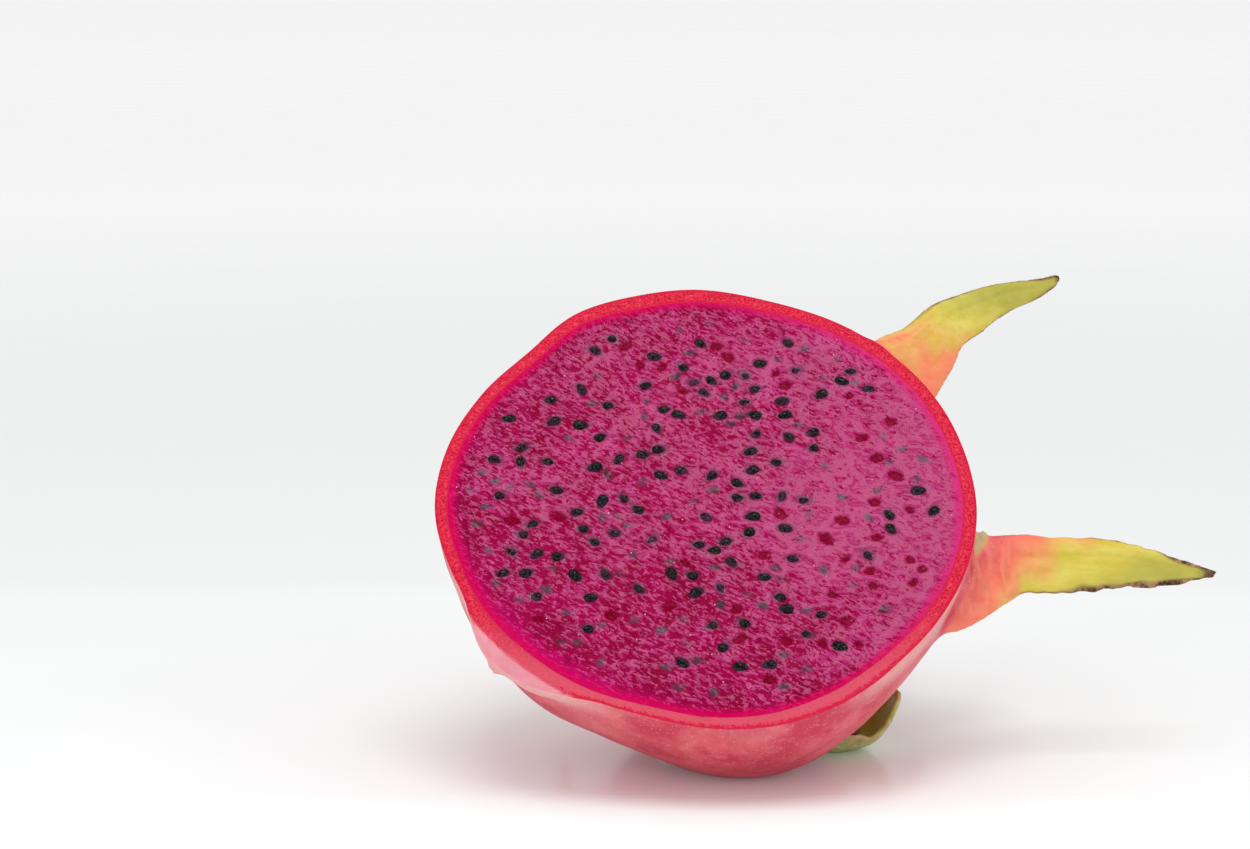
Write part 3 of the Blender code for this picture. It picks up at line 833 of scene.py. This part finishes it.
# %% Shader helper
def srgb(code):
    """Linear colour of a hex code."""
    channels = [int(code[i:i + 2], 16) / 255 for i in (0, 2, 4)]
    linear = [c / 12.92 if c <= 0.04045 else ((c + 0.055) / 1.055) ** 2.4 for c in channels]
    return (*linear, 1.0)


def feed(tree, socket, value):
    """Give a socket a field, a number, a colour or the hex code of one."""
    if isinstance(value, str):
        value = srgb(value)
    if isinstance(value, Field):
        tree.links.new(value.socket, socket)
    elif isinstance(value, (tuple, list)) and len(value) == 4 and socket.type == "VECTOR":
        socket.default_value = value[:3]
    else:
        socket.default_value = value


class Field:
    """A socket of a node tree that can be added, multiplied, ramped and mixed."""

    def __init__(self, tree, socket):
        self.tree = tree
        self.socket = socket

    def node(self, kind, output=0, settings=None, **inputs):
        """Any other node. Inputs are given by their names, with underscores for spaces."""
        made = self.tree.nodes.new(kind)
        for name, value in (settings or {}).items():
            setattr(made, name, value)
        for name, value in inputs.items():
            wanted = name.replace("_", " ")
            socket = next(s for s in made.inputs if s.name == wanted and s.enabled)
            feed(self.tree, socket, value)
        return Field(self.tree, made.outputs[output])

    def math(self, operation, first, second):
        made = self.tree.nodes.new("ShaderNodeMath")
        made.operation = operation
        feed(self.tree, made.inputs[0], first)
        feed(self.tree, made.inputs[1], second)
        return Field(self.tree, made.outputs[0])

    def __add__(self, other):
        return self.math("ADD", self, other)

    def __radd__(self, other):
        return self.math("ADD", other, self)

    def __sub__(self, other):
        return self.math("SUBTRACT", self, other)

    def __rsub__(self, other):
        return self.math("SUBTRACT", other, self)

    def __mul__(self, other):
        return self.math("MULTIPLY", self, other)

    def __rmul__(self, other):
        return self.math("MULTIPLY", other, self)

    def __pow__(self, other):
        return self.math("POWER", self, other)

    def step(self, low, high):
        """0 below low, 1 above high, smooth between."""
        return self.node(
            "ShaderNodeMapRange", settings={"interpolation_type": "SMOOTHSTEP"},
            Value=self, From_Min=low, From_Max=high,
        )

    def clamp(self):
        return self.node("ShaderNodeClamp", Value=self)

    def mix(self, low, high):
        """Colour low where the field is 0 and high where it is 1."""
        made = self.tree.nodes.new("ShaderNodeMix")
        made.data_type = "RGBA"
        feed(self.tree, made.inputs[0], self)
        feed(self.tree, made.inputs[6], low)
        feed(self.tree, made.inputs[7], high)
        return Field(self.tree, made.outputs[2])

    def noise(self, size, detail=2.0, roughness=0.5, distortion=0.0):
        """Noise around 0.5 at this vector, with features of a size in metres."""
        return self.node(
            "ShaderNodeTexNoise",
            Vector=self, Scale=1 / size, Detail=detail, Roughness=roughness, Distortion=distortion,
        )

    def cells(self, size):
        """Distance to the nearest of scattered spots, in cells of a size in metres."""
        return self.node("ShaderNodeTexVoronoi", Vector=self, Scale=1 / size)

    def part(self, index):
        """One number of this vector."""
        return self.node("ShaderNodeSeparateXYZ", index, Vector=self)

    def off_axis(self):
        """Distance of this vector from the Z axis."""
        return (self.part(0) ** 2.0 + self.part(1) ** 2.0) ** 0.5

    def scaled(self, x, y, z):
        return self.node("ShaderNodeMapping", Vector=self, Scale=(x, y, z))

    def turned(self, degrees):
        """This vector turned about Z."""
        return self.node("ShaderNodeMapping", Vector=self, Rotation=(0, 0, math.radians(degrees)))

    def bump(self, distance, strength=1.0, normal=None):
        """Normal that follows this height, laid over another one where it is given."""
        under = {"Normal": normal} if normal else {}
        return self.node("ShaderNodeBump", Strength=strength, Distance=distance, Height=self, **under)


def start_material(name):
    made = bpy.data.materials.new(name)
    made.use_nodes = True
    shader = made.node_tree.nodes["Principled BSDF"]
    return made, made.node_tree, shader


def fact(tree, name, vector=False):
    """What a mesh holds under a name, as a field."""
    made = tree.nodes.new("ShaderNodeAttribute")
    made.attribute_name = name
    return Field(tree, made.outputs["Vector" if vector else "Fac"])


def object_coords(tree):
    return Field(tree, tree.nodes.new("ShaderNodeTexCoord").outputs["Object"])


def dress(tree, shader, **inputs):
    """Feed the shader's inputs, by their names with underscores for spaces."""
    for name, value in inputs.items():
        feed(tree, shader.inputs[name.replace("_", " ")], value)


# %% [markdown]
# ## Skin material
# Rose-red skin with paler mottling and dots turns coral, yellow and green along each scale, and
# dries brown at margins and tips. Painted shade darkens the hollow near the root of the scale under
# the right side, and painted highlights lie on the wrinkles at the right scale's root. The cut edge
# is granular coral red with a bright outer line and a painted pale highlight along its outer rim.

# %% Skin material
skin_material, tree, shader = start_material("skin")
local_at = fact(tree, "local", vector=True)
mottle = local_at.noise(0.009, 3.0, 0.6)
cloud = local_at.noise(0.022, 2.0, 0.5)
fine_mottle = local_at.noise(0.0016, 3.0, 0.65)
dots = 1 - local_at.cells(0.0009).step(0.10, 0.30)
streaks = local_at.scaled(0.35, 1.0, 1.0).noise(0.0026, 3.0, 0.6)
deep_back = 1 - local_at.part(2).step(-0.034, -0.006)

body_red = mottle.step(0.35, 0.68).mix("ca3850", "e26670")
body_red = (cloud.step(0.45, 0.7) * 0.5).mix(body_red, "e38a8c")
body_red = (fine_mottle.step(0.50, 0.72) * 0.22).mix(body_red, "e9a0a0")
body_red = (dots * 0.36).mix(body_red, "f0b0a8")
body_red = (deep_back * 0.65).mix(body_red, mottle.step(0.3, 0.7).mix("b21238", "d83a5c"))
body_red = (fact(tree, "pale") * 0.8).mix(body_red, fine_mottle.mix("e3a3a4", "f0bdb4"))

coral = streaks.step(0.25, 0.75).mix("ee7460", "f18c6a")
lemon = streaks.step(0.3, 0.7).mix("ccba42", "dacb66")
lime = (mottle.step(0.3, 0.7) * 0.5 + streaks.step(0.3, 0.7) * 0.5).mix("a8a042", "beb656")
khaki = fine_mottle.step(0.35, 0.65).mix("aaac60", "d0cc96")
brown = fine_mottle.step(0.35, 0.65).mix("3a2218", "a88560")
yellow_at, green_at = fact(tree, "yellow"), fact(tree, "green")
skin_color = yellow_at.step(0.02, 0.40).mix(body_red, coral)
skin_color = yellow_at.step(0.38, 0.98).mix(skin_color, lemon)
skin_color = green_at.step(0.05, 0.85).mix(skin_color, lime)
olive_at, inner_at = fact(tree, "olive"), fact(tree, "inner")
skin_color = (olive_at * yellow_at.step(0.1, 0.6)).mix(skin_color, khaki)
skin_color = (olive_at * inner_at * 0.9).mix(skin_color, fine_mottle.mix("88c020", "c4ee58"))
# Brown where the skin is dry at margins and tips, and painted shade in the hollow of the scale under the
# right side.
dry_and_hollow_shade_at = fact(tree, "dry_and_hollow_shade")
skin_color = (dry_and_hollow_shade_at + (fine_mottle - 0.5) * 0.5).step(0.30, 0.72).mix(skin_color, brown)
skin_color = fact(tree, "scrap").mix(skin_color, fine_mottle.mix("a07c50", "dcc09a"))
fold_noise = local_at.scaled(1.6, 0.5, 0.7).noise(0.0030, 1.0, 0.5, 0.2)
# Painted highlight: the raised tops of the wrinkles at the right scale's root are painted pale orange.
painted_fold_highlight = fold_noise.step(0.46, 0.62) * fact(tree, "fold")
skin_color = (painted_fold_highlight * 0.30).mix(skin_color, "f4a07c")
tip_at = fact(tree, "tip").step(0.89, 0.96) * fact(tree, "stands")
skin_color = (tip_at * 0.75).mix(skin_color, "2c1b14")

band_at, cut_at, patch_at = fact(tree, "band"), fact(tree, "cut"), fact(tree, "patch")
granules = local_at.noise(0.00030, 2.0, 0.6)
grain_noise = local_at.noise(0.0009, 3.0, 0.7)
low_edge = 1 - local_at.part(1).step(-0.036, -0.018)
edge_color = granules.step(0.38, 0.60).mix("b00428", "e22c4c")
edge_color = (grain_noise.step(0.50, 0.70) * 0.6).mix(edge_color, "f05060")
edge_dots = (1 - local_at.cells(0.00070).step(0.12, 0.34)) * grain_noise.step(0.42, 0.60)
edge_color = (edge_dots * 0.45).mix(edge_color, "98001f")
edge_color = (low_edge * 0.72).mix(edge_color, "d05468")
edge_color = ((1 - band_at.step(0.04, 0.24)) * (0.6 - low_edge * 0.6)).mix(edge_color, "cc1440")
outer_line = band_at + low_edge * 0.20 + (grain_noise - 0.5) * 1.0 + (granules - 0.5) * 0.6
outer_line = outer_line.step(0.84, 0.98)
edge_color = (outer_line * 0.85).mix(edge_color, "cc0638")
# Painted highlight: a pale pink line along the outermost rim of the cut edge, left off at the bottom.
edge_color = (band_at.step(0.90, 1.0) * (1 - low_edge) * 0.30).mix(edge_color, "f9a8a8")
patch_color = mottle.step(0.35, 0.7).mix("d88894", "e6a2ac")
edge_color = patch_at.mix(edge_color, patch_color)
skin_color = cut_at.step(0.45, 0.55).mix(skin_color, edge_color)

skin_bump = fine_mottle.bump(0.00016, 0.5)
skin_bump = (streaks * fact(tree, "stands")).bump(0.00020, 0.5, skin_bump)
skin_bump = (fold_noise * fact(tree, "fold")).bump(0.0011, 0.7, skin_bump)
skin_bump = (granules * cut_at * (1 - low_edge * 0.5) * (1 - patch_at)).bump(0.00020, 0.7, skin_bump)
rough = (cut_at * -0.10 + 0.42 + (mottle - 0.5) * 0.16 + dry_and_hollow_shade_at * 0.25).clamp()
dress(tree, shader, Base_Color=skin_color, Roughness=rough, Normal=skin_bump,
      Coat_Weight=0.22 - cut_at * 0.19, Coat_Roughness=0.32, Specular_IOR_Level=0.04,
      Subsurface_Weight=0.16, Subsurface_Radius=(0.0030, 0.0009, 0.0008), Subsurface_Scale=1.0)
peel.data.materials.append(skin_material)
finish_piece(peel, "peel")

# %% [markdown]
# ## Flesh material
# Wet magenta pulp. The tops of its grain catch a pale pink sheen from the coat, and are also painted
# paler as painted sheen; the crimson flecks between them are partly painted shade. Hollows show deep
# crimson, small white glints and sparkles are painted highlights, and a clear saturated zone runs
# just inside the peel.

# %% Flesh material
flesh_material, tree, shader = start_material("flesh")
local_at = fact(tree, "local", vector=True)
grain_at = local_at.turned(GRAIN_LEAN)
flecks = grain_at.scaled(0.42, 1.2, 1.0).noise(0.00062, 2.0, 0.62, 0.35)
tiny = grain_at.scaled(0.6, 1.1, 1.0).noise(0.00028, 1.0, 0.6)
tone = local_at.noise(0.008, 3.0, 0.6)
crevice_at, pit_at, rim_at = fact(tree, "crevice"), fact(tree, "pit"), fact(tree, "rim")
bed_at, under_at, calm_at = fact(tree, "bed"), fact(tree, "under"), fact(tree, "calm")
busy_at = fact(tree, "busy")
shaded_grey = tone.step(0.4, 0.6).mix("3c2c38", "4c4452")
speck = flecks * 0.6 + tiny * 0.4
jagged = flecks * 0.80 + tiny * 0.20 + (crevice_at - 0.5) * 0.09 + (busy_at - 0.6) * 0.07
deep_at = (jagged + rim_at * 0.09 + fact(tree, "outer_low") * 0.030 - calm_at * 0.035).step(0.514, 0.532)
dots_at = (tiny + (busy_at - 0.6) * 0.1).step(0.60, 0.68) * 0.6
deep_at = (deep_at + dots_at * (1 - rim_at)).clamp()

# The paler pink of the grain's tops is partly painted sheen, and the crimson flecks laid over it below are
# partly painted shade in the crevices.
pulp = tone.step(0.38, 0.66).mix("aa1e60", "b4266e")
pulp = (tiny.step(0.45, 0.75) * 0.35).mix(pulp, "be387c")
pulp = (calm_at * 0.6).mix(pulp, "b22c6a")
pulp = (rim_at * 0.7).mix(pulp, "b82474")
pulp = (fact(tree, "halo") * 0.45).mix(pulp, "7c4c6c")
crimson_and_crevice_shade = tone.step(0.3, 0.7).mix("86002e", "a00046")
hot_at = (fact(tree, "hot") * 0.9 + (tone - 0.5) * 0.9 + 0.05).clamp()
crimson_and_crevice_shade = rim_at.step(0.15, 0.85).mix(crimson_and_crevice_shade, hot_at.mix("98003e", "ba005c"))
pulp = (deep_at * 0.97).mix(pulp, crimson_and_crevice_shade)
seen_under = (under_at + (tiny - 0.5) * 0.6 + (flecks - 0.5) * 1.2).step(0.15, 0.90)
pulp = (seen_under * 0.85).mix(pulp, shaded_grey)
pulp = (bed_at * 0.60).mix(pulp, "64405a")
seen_pit = (pit_at + ((flecks - 0.5) * 1.2 + (tiny - 0.5) * 0.6) * pit_at.step(0.0, 0.2)).step(0.08, 0.45)
pulp = (seen_pit * 0.9).mix(pulp, tiny.step(0.4, 0.7).mix("74001e", "9a0030"))
# Painted highlights: tiny white sparkles in the hollows and seed beds, and white glints scattered over the
# pulp.
painted_sparkle = (1 - local_at.cells(0.00085).step(0.05, 0.08)) * (pit_at + bed_at * 0.6) * tone.step(0.4, 0.55)
painted_glints = (1 - local_at.cells(0.0021).step(0.035, 0.055)) * flecks.step(0.46, 0.56)
pulp = (painted_sparkle + painted_glints).clamp().mix(pulp, "fff0f6")
right_at = fact(tree, "right")
wall_reach = right_at * 0.8 + fact(tree, "outer_low") * 0.9 + 1.5
wall_zone = 1 - (fact(tree, "to_edge") + (flecks - 0.5) * 3.0).step(0.2, wall_reach)
wall_color = right_at.step(0.1, 0.9).mix("cc0050", "d02c70")
pulp = (wall_zone * 0.85).mix(pulp, wall_color)
flesh_bump = (speck * (1 - rim_at * 0.7)).bump(0.00070, 0.7)
flesh_bump = tiny.bump(0.00014, 0.5, flesh_bump)
rough = (0.34 + deep_at * 0.14 + (tiny - 0.5) * 0.2).clamp()
sheen = (1 - deep_at * 0.97) * (1 - rim_at * 0.7) * (1 - wall_zone * 0.8) * (1 - pit_at * 0.9) * 0.36
dress(tree, shader, Base_Color=pulp, Roughness=rough, Normal=flesh_bump,
      Coat_Weight=sheen.clamp(), Coat_Roughness=0.17, Specular_IOR_Level=0.02,
      Subsurface_Weight=0.05, Subsurface_Radius=(0.0016, 0.0004, 0.0008), Subsurface_Scale=1.0)
flesh.data.materials.append(flesh_material)
finish_piece(flesh, "flesh")

# %% [markdown]
# ## Seeds
# One drop-shaped seed is set on each place by a node tree, lying in its bed at its own turn, tilt
# and size. The result is turned into a plain mesh.

# %% Seed material
seed_material, tree, shader = start_material("seed")
coords = object_coords(tree)
pebble = coords.cells(0.00026).step(0.0, 0.6)
shade = coords.noise(0.00030, 2.0, 0.6)
seed_color = shade.step(0.46, 0.70).mix("030203", "24292a")
cover = coords.noise(0.00050, 2.0, 0.6) + fact(tree, "veil") * 0.17 - fact(tree, "rise") * 0.55
cover = (cover + 0.04).step(0.50, 0.68)
seed_color = (cover * 0.74).mix(seed_color, "64304e")
dress(tree, shader, Base_Color=seed_color, Roughness=0.30 + (shade - 0.5) * 0.3,
      Normal=pebble.bump(0.00030, 0.9), Coat_Weight=shade.step(0.47, 0.62) * (1 - cover) * 0.6,
      Coat_Roughness=0.14, Specular_IOR_Level=0.10)

# %% Seed node tree
SEED_INPUTS = {
    "Half Length": 0.00128, "Half Width": 0.00082, "Half Height": 0.00076,
    "Point": 0.34, "Size Spread": 0.20, "Random Seed": 5,
}


def seed_tree(material):
    """Node tree that sets a seed on each point, turned as the point says."""
    tree = bpy.data.node_groups.new("place_seeds", "GeometryNodeTree")
    tree.interface.new_socket("Geometry", in_out="INPUT", socket_type="NodeSocketGeometry")
    for name, value in SEED_INPUTS.items():
        kind = "NodeSocketInt" if isinstance(value, int) else "NodeSocketFloat"
        socket = tree.interface.new_socket(name, in_out="INPUT", socket_type=kind)
        socket.default_value = value
    tree.interface.new_socket("Geometry", in_out="OUTPUT", socket_type="NodeSocketGeometry")
    add, link = tree.nodes.new, tree.links.new
    given, result = add("NodeGroupInput"), add("NodeGroupOutput")

    ball = add("GeometryNodeMeshIcoSphere")
    ball.inputs["Radius"].default_value = 1.0
    ball.inputs["Subdivisions"].default_value = 3
    position, split = add("GeometryNodeInputPosition"), add("ShaderNodeSeparateXYZ")
    link(position.outputs[0], split.inputs[0])

    def calc(operation, a, b):
        made = add("ShaderNodeMath")
        made.operation = operation
        for socket, value in zip(made.inputs, (a, b)):
            if isinstance(value, (int, float)):
                socket.default_value = value
            else:
                link(value, socket)
        return made.outputs[0]

    narrow = calc("SUBTRACT", 1.0, calc("MULTIPLY", split.outputs[0], given.outputs["Point"]))
    shaped = add("ShaderNodeCombineXYZ")
    for i, name in enumerate(("Half Length", "Half Width", "Half Height")):
        reach = calc("MULTIPLY", split.outputs[i], narrow) if i else split.outputs[0]
        link(calc("MULTIPLY", reach, given.outputs[name]), shaped.inputs[i])
    move = add("GeometryNodeSetPosition")
    link(ball.outputs["Mesh"], move.inputs["Geometry"])
    link(shaped.outputs[0], move.inputs["Position"])

    turn = add("GeometryNodeInputNamedAttribute")
    turn.data_type = "FLOAT_VECTOR"
    turn.inputs["Name"].default_value = "turn"
    spread = add("FunctionNodeRandomValue")
    spread.data_type = "FLOAT"
    link(calc("SUBTRACT", 1.0, given.outputs["Size Spread"]), spread.inputs[2])
    link(calc("ADD", 1.0, given.outputs["Size Spread"]), spread.inputs[3])
    link(given.outputs["Random Seed"], spread.inputs["Seed"])
    place = add("GeometryNodeInstanceOnPoints")
    link(given.outputs["Geometry"], place.inputs["Points"])
    link(move.outputs[0], place.inputs["Instance"])
    link(turn.outputs[0], place.inputs["Rotation"])
    link(spread.outputs[1], place.inputs["Scale"])
    real, paint = add("GeometryNodeRealizeInstances"), add("GeometryNodeSetMaterial")
    paint.inputs["Material"].default_value = material
    link(place.outputs[0], real.inputs[0])
    link(real.outputs[0], paint.inputs["Geometry"])
    link(paint.outputs[0], result.inputs[0])
    return tree


# %% Place the seeds
SEED_SINK, SINK_SPREAD = 0.00032, 0.00030
spots = np.array([(px, py, -SEED_SINK - SINK_SPREAD * draw.random() ** 2) for px, py in seeds])
turns = np.array([(draw.gauss(0, 0.35), draw.gauss(0, 0.25), t + math.pi * draw.randint(0, 1))
                  for t in turn_of[:SEEDS]])
spot_mesh = bpy.data.meshes.new("seed_spots")
spot_mesh.from_pydata(spots.tolist(), [], [])
veils = np.array([max(0.0, draw.uniform(-1.1, 0.9)) for _ in seeds])
add_facts(spot_mesh, {"turn": turns, "veil": veils})
holder = new_object("seeds_on_cut", spot_mesh)
modifier = holder.modifiers.new("place", "NODES")
modifier.node_group = seed_tree(seed_material)
for item in modifier.node_group.interface.items_tree:
    if item.in_out == "INPUT" and item.name in SEED_INPUTS:
        modifier[item.identifier] = SEED_INPUTS[item.name]
seed_mesh = evaluated_mesh(holder)
bpy.data.objects.remove(holder)
add_facts(seed_mesh, {"rise": coords_of(seed_mesh)[:, 2] * 1000})
seed_mesh.transform(TO_TABLE)
seed_mesh.name = "seeds_on_cut"
seeds_piece = new_object("seeds_on_cut", seed_mesh)
finish_piece(seeds_piece, None)

# %% [markdown]
# ## Ends of the fruit
# Both lie on the far side of the cut: the woody stub that was cut from the branch, and the dry cup
# that the flower left.

# %% Ends of the fruit
def place_on_skin(along, around, depth):
    """Matrix that sets a piece upright on the skin, sunk in by a depth."""
    bare = bare_point(along, around)
    out = outward(bare)
    spot = Vector(bare + out * cushion_height(bare[None])[0])
    turn = Vector(out).to_track_quat("Z", "Y").to_matrix().to_4x4()
    return Matrix.Translation(spot - Vector(out) * depth) @ turn


TURNED_STEPS = 96
EDGE_WAVE, PLAIN_FOOT = 0.0003, 0.0006


def turned_piece(name, place, ripple, lobes, draw_seed, profile):
    """Turned solid with a wavy outline. profile is (radius, height) from its top to its base."""
    steps = TURNED_STEPS
    points, faces = [], []
    shift = random.Random(draw_seed).uniform(0, 50)
    for radius, high in profile:
        for i in range(steps):
            a = math.tau * i / steps
            wave = noise.noise(Vector((math.cos(a) * lobes, math.sin(a) * lobes, shift + high * 300)))
            r = radius * (1 - abs(wave) * ripple)
            points.append((r * math.cos(a), r * math.sin(a), high + EDGE_WAVE * wave * (high > PLAIN_FOOT)))
    for j in range(len(profile) - 1):
        for i in range(steps):
            n = (i + 1) % steps
            faces.append((j * steps + i, j * steps + n, (j + 1) * steps + n, (j + 1) * steps + i))
    points += [(0, 0, profile[0][1]), (0, 0, profile[-1][1])]
    top, base = len(points) - 2, len(points) - 1
    last = (len(profile) - 1) * steps
    for i in range(steps):
        n = (i + 1) % steps
        faces += [(top, n, i), (base, last + i, last + n)]
    mesh = bpy.data.meshes.new(name)
    mesh.from_pydata(points, [], faces)
    add_facts(mesh, {"own": np.array(points)})
    mesh.transform(TO_TABLE @ place_on_skin(*place, SOCKET_DEPTH - GAP))
    face_outwards(mesh)
    return new_object(name, mesh)


R, H = STEM_RADIUS, SOCKET_DEPTH + STEM_HEIGHT
stem = turned_piece("stem_end", (STEM_ALONG, STEM_AROUND), 0.10, 2.2, 3, (
    (0.001, H - 0.0009), (R * 0.45, H - 0.0008), (R * 0.60, H - 0.0004), (R * 0.72, H - 0.0007),
    (R * 0.86, H - 0.0001), (R * 0.94, H), (R * 0.99, H - 0.0004), (R * 0.93, H * 0.6),
    (R * 0.97, 0.0008), (R * 0.95, 0.0001)))
R, H = FLOWER_RADIUS, SOCKET_DEPTH + FLOWER_HEIGHT
flower = turned_piece("dried_flower", (FLOWER_ALONG, FLOWER_AROUND), 0.24, 4.5, 8, (
    (0.0008, H - 0.0030), (R * 0.30, H - 0.0028), (R * 0.50, H - 0.0018), (R * 0.66, H - 0.0006),
    (R * 0.82, H), (R * 0.95, H - 0.0003), (R * 0.99, H - 0.0011), (R * 0.84, H * 0.55),
    (R * 0.92, H * 0.28), (R * 0.97, 0.0007), (R * 0.94, 0.0001)))

# %% Materials of the ends
stem_material, tree, shader = start_material("stem_wood")
own = fact(tree, "own", vector=True)
rays = own.noise(0.0008, 4.0, 0.7)
from_axis = own.off_axis()
stem_color = from_axis.step(0.0010, 0.0042).mix("8f9a5c", "5c6a34")
stem_color = rays.step(0.4, 0.7).mix(stem_color, "a8a070")
stem_color = (from_axis + (rays - 0.5) * 0.0012).step(0.0044, 0.0052).mix(stem_color, "a08a62")
dress(tree, shader, Base_Color=stem_color, Roughness=0.62 + (rays - 0.5) * 0.3,
      Normal=rays.bump(0.0004, 0.8))
stem.data.materials.append(stem_material)
finish_piece(stem, "stem_stub")

dry_material, tree, shader = start_material("dry_flower")
own = fact(tree, "own", vector=True)
fibres = own.scaled(1.0, 1.0, 0.25).noise(0.0007, 4.0, 0.7)
dry_color = fibres.step(0.35, 0.7).mix("3c2416", "9a7448")
dress(tree, shader, Base_Color=dry_color, Roughness=0.75 + (fibres - 0.5) * 0.3,
      Normal=fibres.bump(0.0005, 0.9))
flower.data.materials.append(dry_material)
finish_piece(flower, "flower_remnant")

# %% [markdown]
# ## Table, light and camera
# A wide pale table stands for table and backdrop in one: the camera looks down a little, so the
# table fills its view. Past the fruit it turns a shade darker, in front of it it is duller, and
# far out it glows faintly so that it stays as pale as it is near the lamps.

# %% Table
TABLE_END = 0.146
TABLE_HALF = 14.0
FRONT_FROM, FRONT_TO = -0.036, -0.016
PALE, PALER, FAR_PALE = (0.91, 0.91, 0.915, 1), (0.94, 0.94, 0.945, 1), (0.875, 0.875, 0.878, 1)
MIDDLE_GLOW, FRONT_GLOW, FAR_GLOW = (0.03, 0.045, 0.044, 1), (0.0, 0.090, 0.080, 1), (0.22, 0.22, 0.22, 1)
table_mesh = bpy.data.meshes.new("table")
table_mesh.from_pydata(
    [(sx * TABLE_HALF, sy * TABLE_HALF, 0) for sx, sy in ((-1, -1), (1, -1), (1, 1), (-1, 1))],
    [], [(0, 1, 2, 3)])
table = new_object("table", table_mesh)
table_material, tree, shader = start_material("table")
coords = object_coords(tree)
faint = coords.noise(0.05, 2.0, 0.5)
past_end = coords.part(1).step(TABLE_END - 0.012, TABLE_END + 0.020)
near_side = 1 - coords.part(1).step(FRONT_FROM, FRONT_TO)
# Painted light: a faint glow near the fruit, stronger and pale cyan in front of it, lifts the table's shade
# and offsets the pink light the fruit throws there.
glow = near_side.mix(MIDDLE_GLOW, FRONT_GLOW)
dress(tree, shader, Base_Color=past_end.mix(faint.mix(PALE, PALER), FAR_PALE),
      Roughness=(0.20 + (faint - 0.5) * 0.06 + near_side * 0.5).clamp(), Specular_IOR_Level=0.26,
      Emission_Color=coords.off_axis().step(0.10, 1.35).mix(glow, FAR_GLOW), Emission_Strength=1.0)
table_mesh.materials.append(table_material)
print("table of", 2 * TABLE_HALF, "m")


# %% Lights
AIM = Vector((0.0, 0.0, 0.045))
ROOM_LIGHT = 0.72


def soft_light(name, place, size, watts):
    """Rectangular lamp that looks at the fruit."""
    data = bpy.data.lights.new(name, "AREA")
    data.shape = "RECTANGLE"
    data.size, data.size_y = size
    data.energy = watts
    lamp = new_object(name, data)
    lamp.location = place
    lamp.rotation_euler = (AIM - Vector(place)).to_track_quat("-Z", "Y").to_euler()
    print("lamp", name, "of", watts, "W")


soft_light("overhead", (0.02, -0.27, 0.95), (0.55, 0.50), 3.4)
soft_light("left_front", (-0.75, -0.65, 0.45), (0.6, 0.6), 1.6)
soft_light("right_front", (0.80, -0.55, 0.40), (0.5, 0.6), 1.1)
world = bpy.data.worlds.new("studio")
bpy.context.scene.world = world
world.use_nodes = True
background = world.node_tree.nodes["Background"]
background.inputs["Color"].default_value = (1.0, 1.0, 1.0, 1.0)
background.inputs["Strength"].default_value = ROOM_LIGHT

# %% Camera
SENSOR, LENS, IMAGE_WIDTH = 36.0, 85.0, 1250
CAMERA_ELEVATION, DISTANCE = 9.0, 0.531
FACE_OFF_CENTRE = Vector((82.0, -82.5))
tilt = math.radians(CAMERA_ELEVATION)
ahead = Vector((0, math.cos(tilt), -math.sin(tilt)))
up = Vector((0, math.sin(tilt), math.cos(tilt)))
per_pixel = DISTANCE * SENSOR / (LENS * IMAGE_WIDTH)
camera_data = bpy.data.cameras.new("camera")
camera_data.lens, camera_data.sensor_width = LENS, SENSOR
camera_data.clip_start, camera_data.clip_end = 0.01, 20.0
camera = new_object("camera", camera_data)
camera.location = (FACE_CENTRE - ahead * DISTANCE
                   - Vector((1, 0, 0)) * FACE_OFF_CENTRE.x * per_pixel - up * FACE_OFF_CENTRE.y * per_pixel)
camera.rotation_euler = (math.radians(90) - tilt, 0, 0)
bpy.context.scene.camera = camera
bpy.context.scene.view_settings.view_transform = "Standard"
bpy.context.scene.view_settings.exposure = 0.0
print("camera at", [round(v, 3) for v in camera.location])
